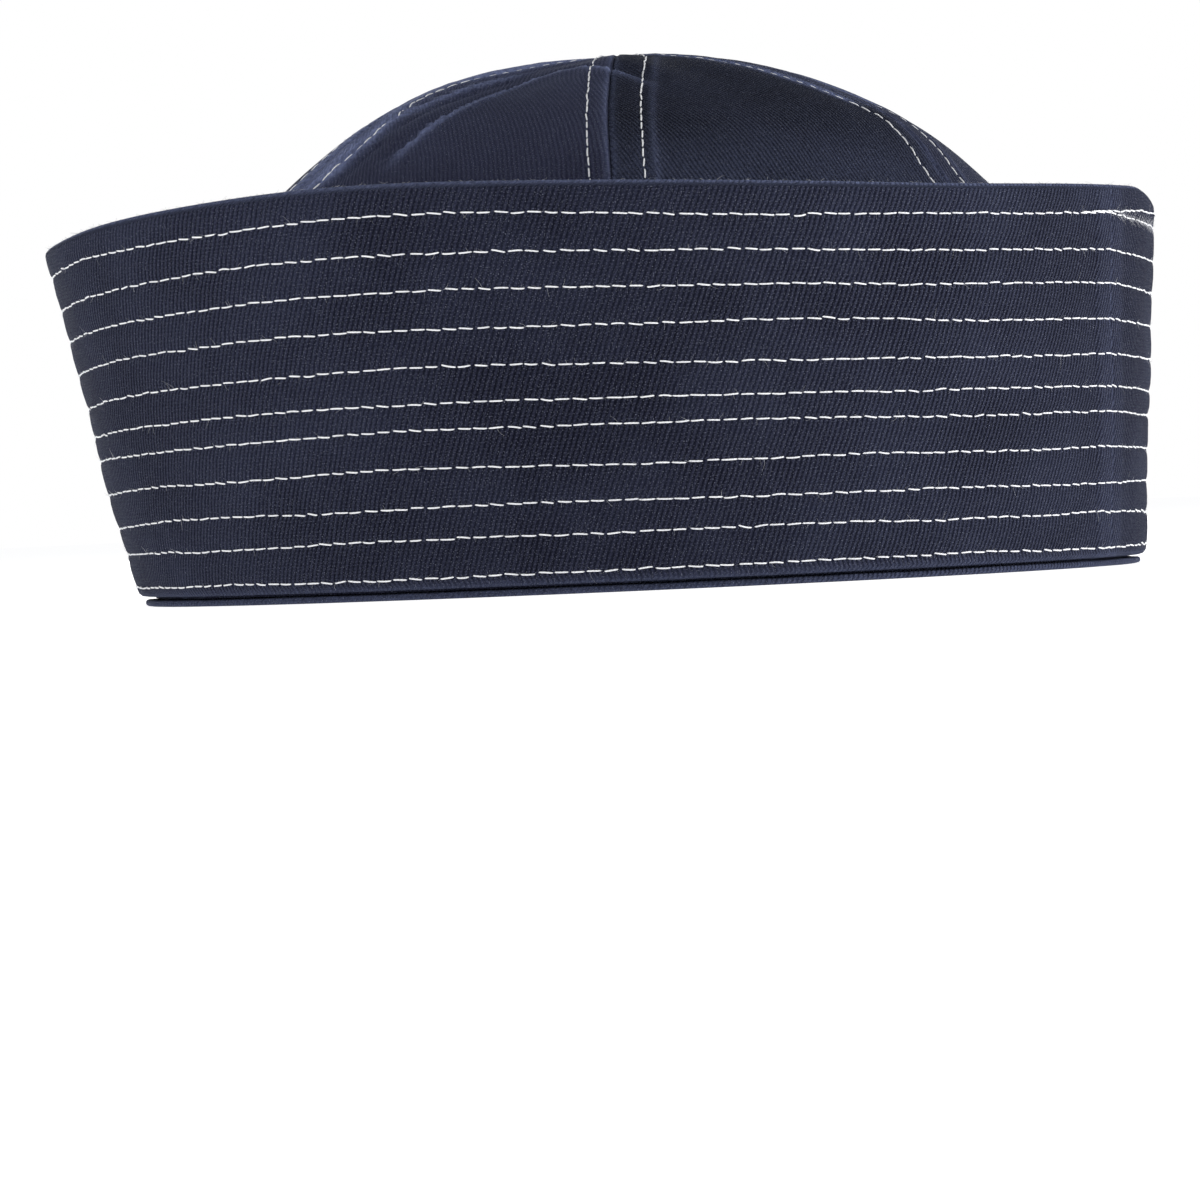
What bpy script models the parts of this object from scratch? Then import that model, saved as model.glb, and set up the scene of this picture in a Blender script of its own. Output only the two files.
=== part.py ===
"""Sailor cap of cotton twill: a domed crown of six gores inside a deep turned-up brim, with a headband.

Metres, +Z up. The cap rests on its headband at z = 0, with the middle of its rim over the origin. Its
front faces -Y and the wearer's left is +X. A turn is an angle round the cap in degrees, from the front
towards the wearer's left.
"""

import math
from collections import namedtuple

import bpy

COLLECTION_NAME = "sailor_cap"

# Clearance between neighbouring pieces of cloth
CLEARANCE = 0.0003

# Headband: a band of folded twill inside the crown, whose lower edge turns out into a lip under the brim
HEADBAND_WALL = 0.0013
HEADBAND_HEIGHT = 0.028
LIP_SETBACK = 0.0012

# Crown: the outer face of the dome
CROWN_HALF_LENGTH = 0.1007
CROWN_HALF_WIDTH = 0.0837
CROWN_HEIGHT = 0.1078
CROWN_WALL = 0.0012
CROWN_TIP_RADIUS = 0.0009
CROWN_LEAN = 0.0012
RISE_POWER = 2.55
RING_POWER = 2.04

# Brim: a stiff stitched band that stands round the crown and leans out towards its rim
BRIM_WALL = 0.003
BRIM_HEIGHT = 0.0755
RIM_FLARE_LENGTH = 0.0099
RIM_FLARE_WIDTH = 0.0086
RIM_SHIFT = 0.0060
BRIM_EDGE_ROUND = 0.0013
BRIM_EDGE_STEPS = 3

# The rim's height round the cap, as a share of BRIM_HEIGHT
RimStation = namedtuple("RimStation", "turn height_share")
RIM_LINE = (
    RimStation(turn=0, height_share=0.950),
    RimStation(turn=25, height_share=0.982),
    RimStation(turn=55, height_share=1.010),
    RimStation(turn=90, height_share=0.985),
    RimStation(turn=115, height_share=0.970),
    RimStation(turn=142, height_share=0.985),
    RimStation(turn=180, height_share=1.020),
    RimStation(turn=215, height_share=1.010),
    RimStation(turn=250, height_share=0.985),
    RimStation(turn=280, height_share=0.990),
    RimStation(turn=310, height_share=1.000),
    RimStation(turn=335, height_share=0.975),
)

# Where the crown's six seams run down to its lower edge
SEAM_TURNS = (14.0, 77.5, 142.0, 200.0, 258.0, 316.0)

# Soft folds of the crown. Rise and its reach are shares of CROWN_HEIGHT, and so is the depth, inwards
Fold = namedtuple("Fold", "turn rise turn_reach rise_reach depth_share")
CROWN_FOLDS = (
    Fold(turn=352, rise=0.79, turn_reach=15, rise_reach=0.070, depth_share=0.016),
    Fold(turn=12, rise=0.93, turn_reach=16, rise_reach=0.030, depth_share=-0.012),
    Fold(turn=38, rise=0.93, turn_reach=18, rise_reach=0.035, depth_share=0.020),
    Fold(turn=40, rise=0.85, turn_reach=17, rise_reach=0.045, depth_share=-0.012),
    Fold(turn=105, rise=0.94, turn_reach=13, rise_reach=0.030, depth_share=0.008),
    Fold(turn=138, rise=0.82, turn_reach=22, rise_reach=0.110, depth_share=-0.014),
    Fold(turn=172, rise=0.86, turn_reach=16, rise_reach=0.080, depth_share=0.014),
    Fold(turn=232, rise=0.90, turn_reach=17, rise_reach=0.050, depth_share=0.016),
    Fold(turn=288, rise=0.84, turn_reach=18, rise_reach=0.070, depth_share=0.012),
)

# Facets
COLUMNS_PER_GORE = 12
GORE_ROWS = 14
HEADBAND_ROWS = 4
BRIM_ROWS = 4

# Heights and sizes that follow from those above
SEAT_HEIGHT = HEADBAND_WALL + CLEARANCE
BRIM_HALF_LENGTH = CROWN_HALF_LENGTH + CLEARANCE + BRIM_WALL
BRIM_HALF_WIDTH = CROWN_HALF_WIDTH + CLEARANCE + BRIM_WALL
NAVY = (0.020, 0.024, 0.046, 1.0)


def turn_gap(turn, other):
    """Degrees from one turn to another, by the shorter way round."""
    return (turn - other + 180.0) % 360.0 - 180.0


def rim_share(turn):
    """Share of BRIM_HEIGHT at a turn, on a smooth closed curve through RIM_LINE."""
    count = len(RIM_LINE)
    turn %= 360.0
    start = max(i for i in range(count) if RIM_LINE[i].turn <= turn)
    near = []
    for step in (-1, 0, 1, 2):
        laps, index = divmod(start + step, count)
        near.append((RIM_LINE[index].turn + 360.0 * laps, RIM_LINE[index].height_share))
    (t0, h0), (t1, h1), (t2, h2), (t3, h3) = near
    slope_in = (h2 - h0) / (t2 - t0) * (t2 - t1)
    slope_out = (h3 - h1) / (t3 - t1) * (t2 - t1)
    u = (turn - t1) / (t2 - t1)
    return (
        (2 * u**3 - 3 * u**2 + 1) * h1
        + (u**3 - 2 * u**2 + u) * slope_in
        + (3 * u**2 - 2 * u**3) * h2
        + (u**3 - u**2) * slope_out
    )


def fold_depth(turn, rise):
    """How far the folds push the crown in at this turn and share of its height."""
    depth = 0.0
    for fold in CROWN_FOLDS:
        across = turn_gap(turn, fold.turn) / fold.turn_reach
        up = (rise - fold.rise) / fold.rise_reach
        depth += fold.depth_share * math.exp(-(across**2 + up**2) / 2)
    return depth * CROWN_HEIGHT


def crown_point(turn, ring, inset=0.0):
    """A point on the crown, where ring is 1 at the lower edge and 0 at the top. Inset is inwards."""
    angle = math.radians(turn)
    rise = (1.0 - ring**RING_POWER) ** (1.0 / RISE_POWER)
    depth = fold_depth(turn, rise)
    level = math.sqrt(1.0 - ring**2)
    half_width = CROWN_HALF_WIDTH * ring - (inset + depth) * ring
    half_length = CROWN_HALF_LENGTH * ring - (inset + depth) * ring
    return (
        half_width * math.sin(angle),
        -half_length * math.cos(angle) + RIM_SHIFT - CROWN_LEAN * rise,
        SEAT_HEIGHT + (CROWN_HEIGHT - SEAT_HEIGHT) * rise - depth * level,
    )


def ring_at_height(height):
    """The crown's ring value at a height above the surface that the cap rests on."""
    rise = (height - SEAT_HEIGHT) / (CROWN_HEIGHT - SEAT_HEIGHT)
    return (1.0 - rise**RISE_POWER) ** (1.0 / RING_POWER)


def brim_point(turn, share):
    """A point on the brim's outer face, where share is 0 at its lower edge and 1 at the rim."""
    angle = math.radians(turn)
    rim = BRIM_HEIGHT * rim_share(turn)
    return (
        (BRIM_HALF_WIDTH + RIM_FLARE_WIDTH * share) * math.sin(angle),
        -(BRIM_HALF_LENGTH + RIM_FLARE_LENGTH * share) * math.cos(angle) + RIM_SHIFT * (1.0 - share),
        SEAT_HEIGHT + (rim - SEAT_HEIGHT) * share,
    )


def stations(start, end):
    """Turns across one gore, both seams included."""
    return [start + (end - start) * i / COLUMNS_PER_GORE for i in range(COLUMNS_PER_GORE + 1)]


def gore_spans():
    """The start and end turn of each gore."""
    ends = SEAM_TURNS[1:] + (SEAM_TURNS[0] + 360.0,)
    return list(zip(SEAM_TURNS, ends))


def round_stations():
    """Turns all the way round, in step with the gores' facets."""
    turns = []
    for start, end in gore_spans():
        turns += stations(start, end)[:-1]
    return turns


def mesh_from_rows(name, rows, closed):
    """A sheet of quads through rows of points, whose faces look away from the cap's middle."""
    width = len(rows[0])
    points = [point for row in rows for point in row]
    faces = []
    for r in range(len(rows) - 1):
        for c in range(width if closed else width - 1):
            here, there = r * width + c, r * width + (c + 1) % width
            faces.append((here, there, there + width, here + width))
    mesh = bpy.data.meshes.new(name)
    mesh.from_pydata(points, [], faces)
    mesh.update()
    return mesh


def twill_material(name):
    """Plain navy cloth."""
    material = bpy.data.materials.new(name)
    material.use_nodes = True
    shader = material.node_tree.nodes["Principled BSDF"]
    shader.inputs["Base Color"].default_value = NAVY
    shader.inputs["Roughness"].default_value = 0.85
    shader.inputs["Metallic"].default_value = 0.0
    return material


def add_piece(name, mesh, wall):
    """An object of one sheet of cloth, thickened towards its inner side."""
    piece = bpy.data.objects.new(name, mesh)
    bpy.data.collections[COLLECTION_NAME].objects.link(piece)
    mesh.materials.append(twill_material(name + "_cloth"))
    mesh.shade_smooth()
    mesh.set_sharp_from_angle(angle=math.radians(40))
    thickness = piece.modifiers.new("wall", "SOLIDIFY")
    thickness.thickness = wall
    thickness.offset = -1.0
    thickness.use_even_offset = True
    return piece


def gore(name, start, end):
    """One gore of the crown, from the lower edge to its tip, clear of the gores beside it."""
    tip_ring = CROWN_TIP_RADIUS / CROWN_HALF_WIDTH
    steepest = math.acos(tip_ring)
    rows = []
    for r in range(GORE_ROWS + 1):
        ring = math.cos(steepest * r / GORE_ROWS)
        row = []
        for turn in stations(start, end):
            angle = math.radians(turn)
            reach = math.hypot(CROWN_HALF_WIDTH * math.cos(angle), CROWN_HALF_LENGTH * math.sin(angle))
            inset = math.degrees(CLEARANCE / 2 / (reach * ring))
            row.append(crown_point(min(max(turn, start + inset), end - inset), ring))
        rows.append(row)
    return add_piece(name, mesh_from_rows(name, rows, closed=False), CROWN_WALL)


def headband():
    """The band inside the crown, with the lip that turns out under the crown and the brim."""
    rows = []
    inset = CROWN_WALL + CLEARANCE
    lip_width = BRIM_HALF_WIDTH - LIP_SETBACK
    lip_length = BRIM_HALF_LENGTH - LIP_SETBACK
    turns = round_stations()
    rows.append(
        [
            (
                lip_width * math.sin(math.radians(t)),
                -lip_length * math.cos(math.radians(t)) + RIM_SHIFT,
                HEADBAND_WALL,
            )
            for t in turns
        ]
    )
    corner = [crown_point(t, 1.0, inset) for t in turns]
    rows.append([(x, y, HEADBAND_WALL) for x, y, _ in corner])
    for r in range(1, HEADBAND_ROWS + 1):
        height = SEAT_HEIGHT + (HEADBAND_HEIGHT - SEAT_HEIGHT) * r / HEADBAND_ROWS
        rows.append([crown_point(t, ring_at_height(height), inset) for t in turns])
    return add_piece("headband", mesh_from_rows("headband", rows, closed=True), HEADBAND_WALL)


def brim():
    """The turned-up band, with its rim and its lower fold rounded."""
    turns = round_stations()
    rows = [[brim_point(t, r / BRIM_ROWS) for t in turns] for r in range(BRIM_ROWS + 1)]
    piece = add_piece("brim", mesh_from_rows("brim", rows, closed=True), BRIM_WALL)
    rounding = piece.modifiers.new("rounding", "BEVEL")
    rounding.width = BRIM_EDGE_ROUND
    rounding.segments = BRIM_EDGE_STEPS
    rounding.limit_method = "ANGLE"
    rounding.angle_limit = math.radians(50)
    return piece


def clear_scene():
    """Removes what the scene holds and adds the cap's collection."""
    for obj in list(bpy.data.objects):
        bpy.data.objects.remove(obj, do_unlink=True)
    collection = bpy.data.collections.new(COLLECTION_NAME)
    bpy.context.scene.collection.children.link(collection)


def main():
    clear_scene()
    headband()
    for number, (start, end) in enumerate(gore_spans(), start=1):
        gore(f"crown_gore_{number}", start, end)
    brim()


main()
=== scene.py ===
"""Looks of a navy cotton twill sailor cap: a stitched turned-up brim, six crown gores, a headband and lint.

Metres, +Z up. The cap rests on its headband at z = 0, its front faces -Y and the wearer's left is +X.
A turn is an angle round the cap in degrees, from the front towards the wearer's left. A share is a height
on the brim, 0 at its lower fold and 1 at the rim. A climb is an angle up the crown in degrees, 0 at its
lower edge and 90 at the tip. Cloth maps are in millimetres, so that a weave's pitch is a real size.
"""

import logging
import math
from dataclasses import dataclass, field
from enum import Enum

import bpy
import numpy as np
from mathutils import Matrix, Vector
from mathutils.bvhtree import BVHTree

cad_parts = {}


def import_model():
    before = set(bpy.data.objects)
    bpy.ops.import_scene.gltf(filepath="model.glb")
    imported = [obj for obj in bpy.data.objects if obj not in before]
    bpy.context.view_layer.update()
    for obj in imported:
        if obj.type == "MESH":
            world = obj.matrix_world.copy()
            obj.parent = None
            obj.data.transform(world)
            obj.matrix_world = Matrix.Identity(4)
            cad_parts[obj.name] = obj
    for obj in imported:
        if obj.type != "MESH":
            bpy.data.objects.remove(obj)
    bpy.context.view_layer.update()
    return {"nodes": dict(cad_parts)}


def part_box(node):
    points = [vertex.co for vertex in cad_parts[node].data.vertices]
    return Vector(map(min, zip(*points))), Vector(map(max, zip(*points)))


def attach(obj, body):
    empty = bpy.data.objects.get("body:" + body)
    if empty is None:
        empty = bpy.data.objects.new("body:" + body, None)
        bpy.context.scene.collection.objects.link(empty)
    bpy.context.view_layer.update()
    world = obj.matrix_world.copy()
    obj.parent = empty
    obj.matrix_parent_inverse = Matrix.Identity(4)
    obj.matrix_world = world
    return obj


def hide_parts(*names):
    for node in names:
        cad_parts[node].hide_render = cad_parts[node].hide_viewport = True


MM = 0.001
CLOTH_MAP = "cloth_map"
# Mask of worn cloth, which also carries painted sheen, painted highlights and painted light.
WEAR_AND_SHEEN_MASK = "wear_and_sheen"
TINT_MASK = "tint"

Colour = tuple[float, float, float]

log = logging.getLogger("sailor_cap")


class Slot(Enum):
    """Names of material slots, which add_piece takes but does not use."""

    BRIM = "brim_twill"
    CROWN = "crown_twill"
    HEADBAND = "headband_twill"
    STITCHING = "stitching"


class Face(Enum):
    """The two faces of the brim's cloth."""

    OUTER = "outer"
    INNER = "inner"


def eased(value: np.ndarray | float, low: float, high: float) -> np.ndarray:
    """A smooth step.

    Args:
        value: The numbers to ease.
        low: Where the step starts, with the result 0.
        high: Where the step ends, with the result 1.

    Returns:
        The eased numbers.
    """
    share = np.clip((np.asarray(value) - low) / (high - low), 0.0, 1.0)
    return share * share * (3.0 - 2.0 * share)


def bell(value: np.ndarray | float, reach: float) -> np.ndarray:
    """A rounded bump of height 1 that fades over a reach to both sides."""
    return np.exp(-((np.asarray(value) / reach) ** 2))


def turn_gap(turns: np.ndarray, turn: float) -> np.ndarray:
    """Degrees from one turn to others, by the shorter way round."""
    return (np.asarray(turns) - turn + 180.0) % 360.0 - 180.0


def round_curve(samples: np.ndarray, turns: np.ndarray, waves: int) -> np.ndarray:
    """Reads a smooth closed curve through even samples round the cap.

    Args:
        samples: Values at equal turns, the first at turn 0.
        turns: Where to read the curve, in degrees.
        waves: How many waves round the cap the curve keeps.

    Returns:
        The curve's values at those turns.
    """
    spectrum = np.fft.rfft(samples) / len(samples)
    angles = np.radians(turns)
    total = np.full(angles.shape, spectrum[0].real)
    for wave in range(1, waves + 1):
        total += 2.0 * spectrum[wave].real * np.cos(wave * angles)
        total -= 2.0 * spectrum[wave].imag * np.sin(wave * angles)
    return total


def unit(vectors: np.ndarray) -> np.ndarray:
    """The same directions at length 1."""
    return vectors / np.maximum(np.linalg.norm(vectors, axis=-1, keepdims=True), 1e-12)


def grid_slope(points: np.ndarray, axis: int, closed: bool) -> np.ndarray:
    """Steps between neighbours of a grid.

    Args:
        points: The grid, as rows, columns and coordinates.
        axis: 0 for steps up the rows, 1 for steps along the columns.
        closed: Whether the grid meets itself that way.

    Returns:
        One step for each point.
    """
    if closed:
        return np.roll(points, -1, axis) - np.roll(points, 1, axis)
    return np.gradient(points, axis=axis)


def grid_normals(points: np.ndarray, round_columns: bool, round_rows: bool) -> np.ndarray:
    """Outward normals of a grid whose columns run round the cap and whose rows run up.

    Args:
        points: The grid, as rows, columns and coordinates.
        round_columns: Whether the last column meets the first.
        round_rows: Whether the last row meets the first.

    Returns:
        One unit normal for each point.
    """
    along = grid_slope(points, 1, round_columns)
    upwards = grid_slope(points, 0, round_rows)
    return unit(np.cross(along, upwards))


def path_length(points: np.ndarray) -> np.ndarray:
    """Distance along a path at each of its points, from 0."""
    steps = np.linalg.norm(np.diff(points, axis=0), axis=1)
    return np.concatenate([[0.0], np.cumsum(steps)])


class Ripple:
    """Seeded smooth noise from -1 to 1, closed round the cap."""

    def __init__(self, seed: int, around: int, up: int) -> None:
        """Draws the noise.

        Args:
            seed: Seed of the draw.
            around: Ripples round the cap.
            up: Ripples up the piece.
        """
        self.around = around
        self.up = up
        self.table = np.random.default_rng(seed).uniform(-1.0, 1.0, (up + 1, around))

    def at(self, turns: np.ndarray, heights: np.ndarray) -> np.ndarray:
        """Reads the noise.

        Args:
            turns: Degrees round the cap.
            heights: Shares of the piece's height.

        Returns:
            The noise at those places.
        """
        across = (np.asarray(turns) / 360.0 % 1.0) * self.around
        rise = np.clip(heights, 0.0, 1.0) * (self.up - 1e-6)
        column, row = np.floor(across).astype(int) % self.around, np.floor(rise).astype(int)
        side, lift = eased(across % 1.0, 0.0, 1.0), eased(rise % 1.0, 0.0, 1.0)
        after = (column + 1) % self.around
        low = self.table[row, column] * (1.0 - side) + self.table[row, after] * side
        high = self.table[row + 1, column] * (1.0 - side) + self.table[row + 1, after] * side
        return low * (1.0 - lift) + high * lift


def build_mesh(
    name: str, points: np.ndarray, faces: list[np.ndarray], maps: list[np.ndarray]
) -> bpy.types.Mesh:
    """Makes a smooth-shaded mesh with a cloth map.

    Args:
        name: The mesh's name.
        points: All points, in metres.
        faces: Arrays of point numbers, one array for each count of corners.
        maps: The corners' places on the cloth map, in step with faces.

    Returns:
        The mesh.
    """
    mesh = bpy.data.meshes.new(name)
    corners = np.concatenate([part.reshape(-1) for part in faces]).astype(np.int32)
    counts = np.concatenate([np.full(len(part), part.shape[1]) for part in faces]).astype(np.int32)
    starts = np.concatenate([[0], np.cumsum(counts)[:-1]]).astype(np.int32)
    mesh.vertices.add(len(points))
    mesh.vertices.foreach_set("co", points.astype(np.float32).reshape(-1))
    mesh.loops.add(len(corners))
    mesh.loops.foreach_set("vertex_index", corners)
    mesh.polygons.add(len(counts))
    mesh.polygons.foreach_set("loop_start", starts)
    mesh.polygons.foreach_set("loop_total", counts)
    mesh.update(calc_edges=True)
    places = np.concatenate([part.reshape(-1, 2) for part in maps]).astype(np.float32)
    mesh.uv_layers.new(name=CLOTH_MAP).data.foreach_set("uv", places.reshape(-1))
    mesh.validate()
    mesh.shade_smooth()
    return mesh


def grid_mesh(name: str, points: np.ndarray, places: np.ndarray) -> bpy.types.Mesh:
    """Makes a sheet of quads, closed on itself where the map has one more column or row than the points.

    Args:
        name: The mesh's name.
        points: The grid, as rows, columns and coordinates.
        places: Cloth map places, as rows, columns and two coordinates.

    Returns:
        The mesh, whose faces look outwards.
    """
    rows, columns = points.shape[:2]
    row, column = np.meshgrid(np.arange(places.shape[0] - 1), np.arange(places.shape[1] - 1), indexing="ij")
    corners = [(row, column), (row, column + 1), (row + 1, column + 1), (row + 1, column)]
    faces = np.stack([(r % rows) * columns + c % columns for r, c in corners], axis=-1)
    maps = np.stack([places[r, c] for r, c in corners], axis=-2)
    return build_mesh(name, points.reshape(-1, 3), [faces.reshape(-1, 4)], [maps.reshape(-1, 4, 2)])


def strand_mesh(
    name: str, lines: np.ndarray, ups: np.ndarray, radii: np.ndarray, sides: int
) -> bpy.types.Mesh:
    """Makes many short closed tubes in one mesh.

    Args:
        name: The mesh's name.
        lines: The tubes' centre lines, as tubes, rings and coordinates.
        ups: A direction across each ring.
        radii: Each ring's radius along that direction and across it, as tubes, rings and two radii.
        sides: Corners of a ring.

    Returns:
        The mesh, mapped by millimetres along the tube and the share round it.
    """
    tubes, rings = lines.shape[:2]
    along = unit(np.gradient(lines, axis=1))
    across = unit(np.cross(along, ups))
    lift = unit(np.cross(across, along))
    angles = 2.0 * np.pi * np.arange(sides) / sides
    points = (
        lines[:, :, None]
        + lift[:, :, None] * (radii[:, :, None, :1] * np.cos(angles)[:, None])
        + across[:, :, None] * (radii[:, :, None, 1:] * np.sin(angles)[:, None])
    )
    first = (np.arange(tubes) * rings * sides)[:, None, None]
    ring, side = np.arange(rings - 1)[:, None], np.arange(sides)[None, :]
    after = (side + 1) % sides
    corners = [
        ring * sides + side,
        ring * sides + after,
        (ring + 1) * sides + after,
        (ring + 1) * sides + side,
    ]
    quads = np.stack([first + corner for corner in corners], axis=-1).reshape(-1, 4)
    start_cap = first[:, :, 0] + np.arange(sides)[::-1]
    end_cap = first[:, :, 0] + (rings - 1) * sides + np.arange(sides)
    lengths = np.linalg.norm(lines[:, -1] - lines[:, 0], axis=-1) / MM
    runs = [ring, ring, ring + 1, ring + 1]
    turns = [side, side + 1, side + 1, side]
    quad_maps = np.stack(
        [
            np.stack(np.broadcast_arrays(lengths[:, None, None] * run / (rings - 1), turned / sides), axis=-1)
            for run, turned in zip(runs, turns)
        ],
        axis=-2,
    ).reshape(-1, 4, 2)
    cap_maps = np.zeros((2 * tubes, sides, 2))
    return build_mesh(
        name, points.reshape(-1, 3), [quads, np.concatenate([start_cap, end_cap])], [quad_maps, cap_maps]
    )


def add_mask(mesh: bpy.types.Mesh, name: str, values: np.ndarray) -> None:
    """Stores one number for each point of a mesh, for its material to read.

    Args:
        mesh: The mesh.
        name: The mask's name.
        values: The numbers, 0 to 1.
    """
    attribute = mesh.attributes.new(name, "FLOAT", "POINT")
    attribute.data.foreach_set("value", values.astype(np.float32).reshape(-1))


def add_piece(
    mesh: bpy.types.Mesh, material: bpy.types.Material, slot: Slot, *nodes: str
) -> bpy.types.Object:
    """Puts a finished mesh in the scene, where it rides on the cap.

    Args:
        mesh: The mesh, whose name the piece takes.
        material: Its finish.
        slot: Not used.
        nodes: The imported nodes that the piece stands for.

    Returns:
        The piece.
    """
    piece = bpy.data.objects.new(mesh.name, mesh)
    bpy.context.scene.collection.objects.link(piece)
    mesh.materials.append(material)
    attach(piece, "root")
    if nodes:
        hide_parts(*nodes)
    log.info("%s: %d faces", piece.name, len(mesh.polygons))
    return piece


class Bench:
    """Adds nodes to one shader tree and joins them."""

    def __init__(self, tree: bpy.types.NodeTree) -> None:
        """Takes the tree to work on."""
        self.tree = tree

    def feed(self, socket: bpy.types.NodeSocket, value: object) -> None:
        """Links an output to a socket, or sets the socket to a plain value.

        Args:
            socket: The socket to feed.
            value: An output, or a plain value.
        """
        if isinstance(value, bpy.types.NodeSocket):
            self.tree.links.new(value, socket)
        else:
            socket.default_value = value

    def feed_all(self, node: bpy.types.Node, inputs: dict[str, object]) -> None:
        """Feeds a node's sockets.

        Args:
            node: The node.
            inputs: Values or outputs for its sockets, by name.
        """
        for name, value in inputs.items():
            self.feed(node.inputs[name], value)

    def add(self, kind: str, inputs: dict[str, object] | None = None, **settings: object) -> bpy.types.Node:
        """Adds a node.

        Args:
            kind: Blender's name for the node.
            inputs: Values or outputs for its sockets, by name.
            settings: Its own settings.

        Returns:
            The node.
        """
        node = self.tree.nodes.new(kind)
        for name, value in settings.items():
            setattr(node, name, value)
        self.feed_all(node, inputs or {})
        return node

    def math(self, operation: str, *values: object) -> bpy.types.NodeSocket:
        """Adds a Math node.

        Args:
            operation: Blender's name for the operation.
            values: Values or outputs for its sockets, in order.

        Returns:
            Its output.
        """
        node = self.add("ShaderNodeMath", operation=operation)
        for socket, value in zip(node.inputs, values):
            self.feed(socket, value)
        return node.outputs[0]

    def mix(self, share: object, first: object, second: object) -> bpy.types.NodeSocket:
        """Adds a colour mix.

        Args:
            share: How much of the second colour shows.
            first: A colour or an output.
            second: A colour or an output.

        Returns:
            Its output.
        """
        node = self.add("ShaderNodeMix", data_type="RGBA")
        self.feed(node.inputs[0], share)
        self.feed(node.inputs[6], first if isinstance(first, bpy.types.NodeSocket) else (*first, 1.0))
        self.feed(node.inputs[7], second if isinstance(second, bpy.types.NodeSocket) else (*second, 1.0))
        return node.outputs[2]

    def noise(self, place: object, scale: float, detail: float) -> bpy.types.NodeSocket:
        """Adds flat noise from 0 to 1 and gives its output."""
        inputs = {"Vector": place, "Scale": scale, "Detail": detail, "Roughness": 0.5}
        return self.add("ShaderNodeTexNoise", inputs, noise_dimensions="2D").outputs[0]

    def wave(self, phase: object) -> bpy.types.NodeSocket:
        """Turns a phase in cycles into a wave from 0 to 1."""
        turned = self.math("SINE", self.math("MULTIPLY", phase, 2.0 * math.pi))
        return self.math("MULTIPLY_ADD", turned, 0.5, 0.5)

    def spread(
        self, value: object, low: float, high: float, least: float = 0.0, most: float = 1.0
    ) -> bpy.types.NodeSocket:
        """Carries a value from one range to another, held within it.

        Args:
            value: The value.
            low: Start of its range.
            high: End of its range.
            least: Start of the new range.
            most: End of the new range.

        Returns:
            The new value.
        """
        inputs = {"Value": value, "From Min": low, "From Max": high, "To Min": least, "To Max": most}
        return self.add("ShaderNodeMapRange", inputs, clamp=True).outputs[0]


def new_group(name: str, inputs: dict[str, str], outputs: tuple[str, ...]) -> tuple[Bench, object, object]:
    """Makes an empty shader node group.

    Args:
        name: The group's name.
        inputs: Its inputs' names and kinds of socket.
        outputs: Its outputs' names, each a plain value.

    Returns:
        A bench on the group's tree, the inputs' node and the outputs' node.
    """
    tree = bpy.data.node_groups.new(name, "ShaderNodeTree")
    for socket, kind in inputs.items():
        tree.interface.new_socket(name=socket, in_out="INPUT", socket_type=kind)
    for socket in outputs:
        tree.interface.new_socket(name=socket, in_out="OUTPUT", socket_type="NodeSocketFloat")
    bench = Bench(tree)
    return bench, bench.add("NodeGroupInput"), bench.add("NodeGroupOutput")


def new_material(name: str) -> tuple[bpy.types.Material, Bench, bpy.types.Node]:
    """Makes a material with a plain surface.

    Args:
        name: The material's name.

    Returns:
        The material, a bench on its nodes and its surface's node.
    """
    material = bpy.data.materials.new(name)
    material.use_nodes = True
    return material, Bench(material.node_tree), material.node_tree.nodes["Principled BSDF"]


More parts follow.
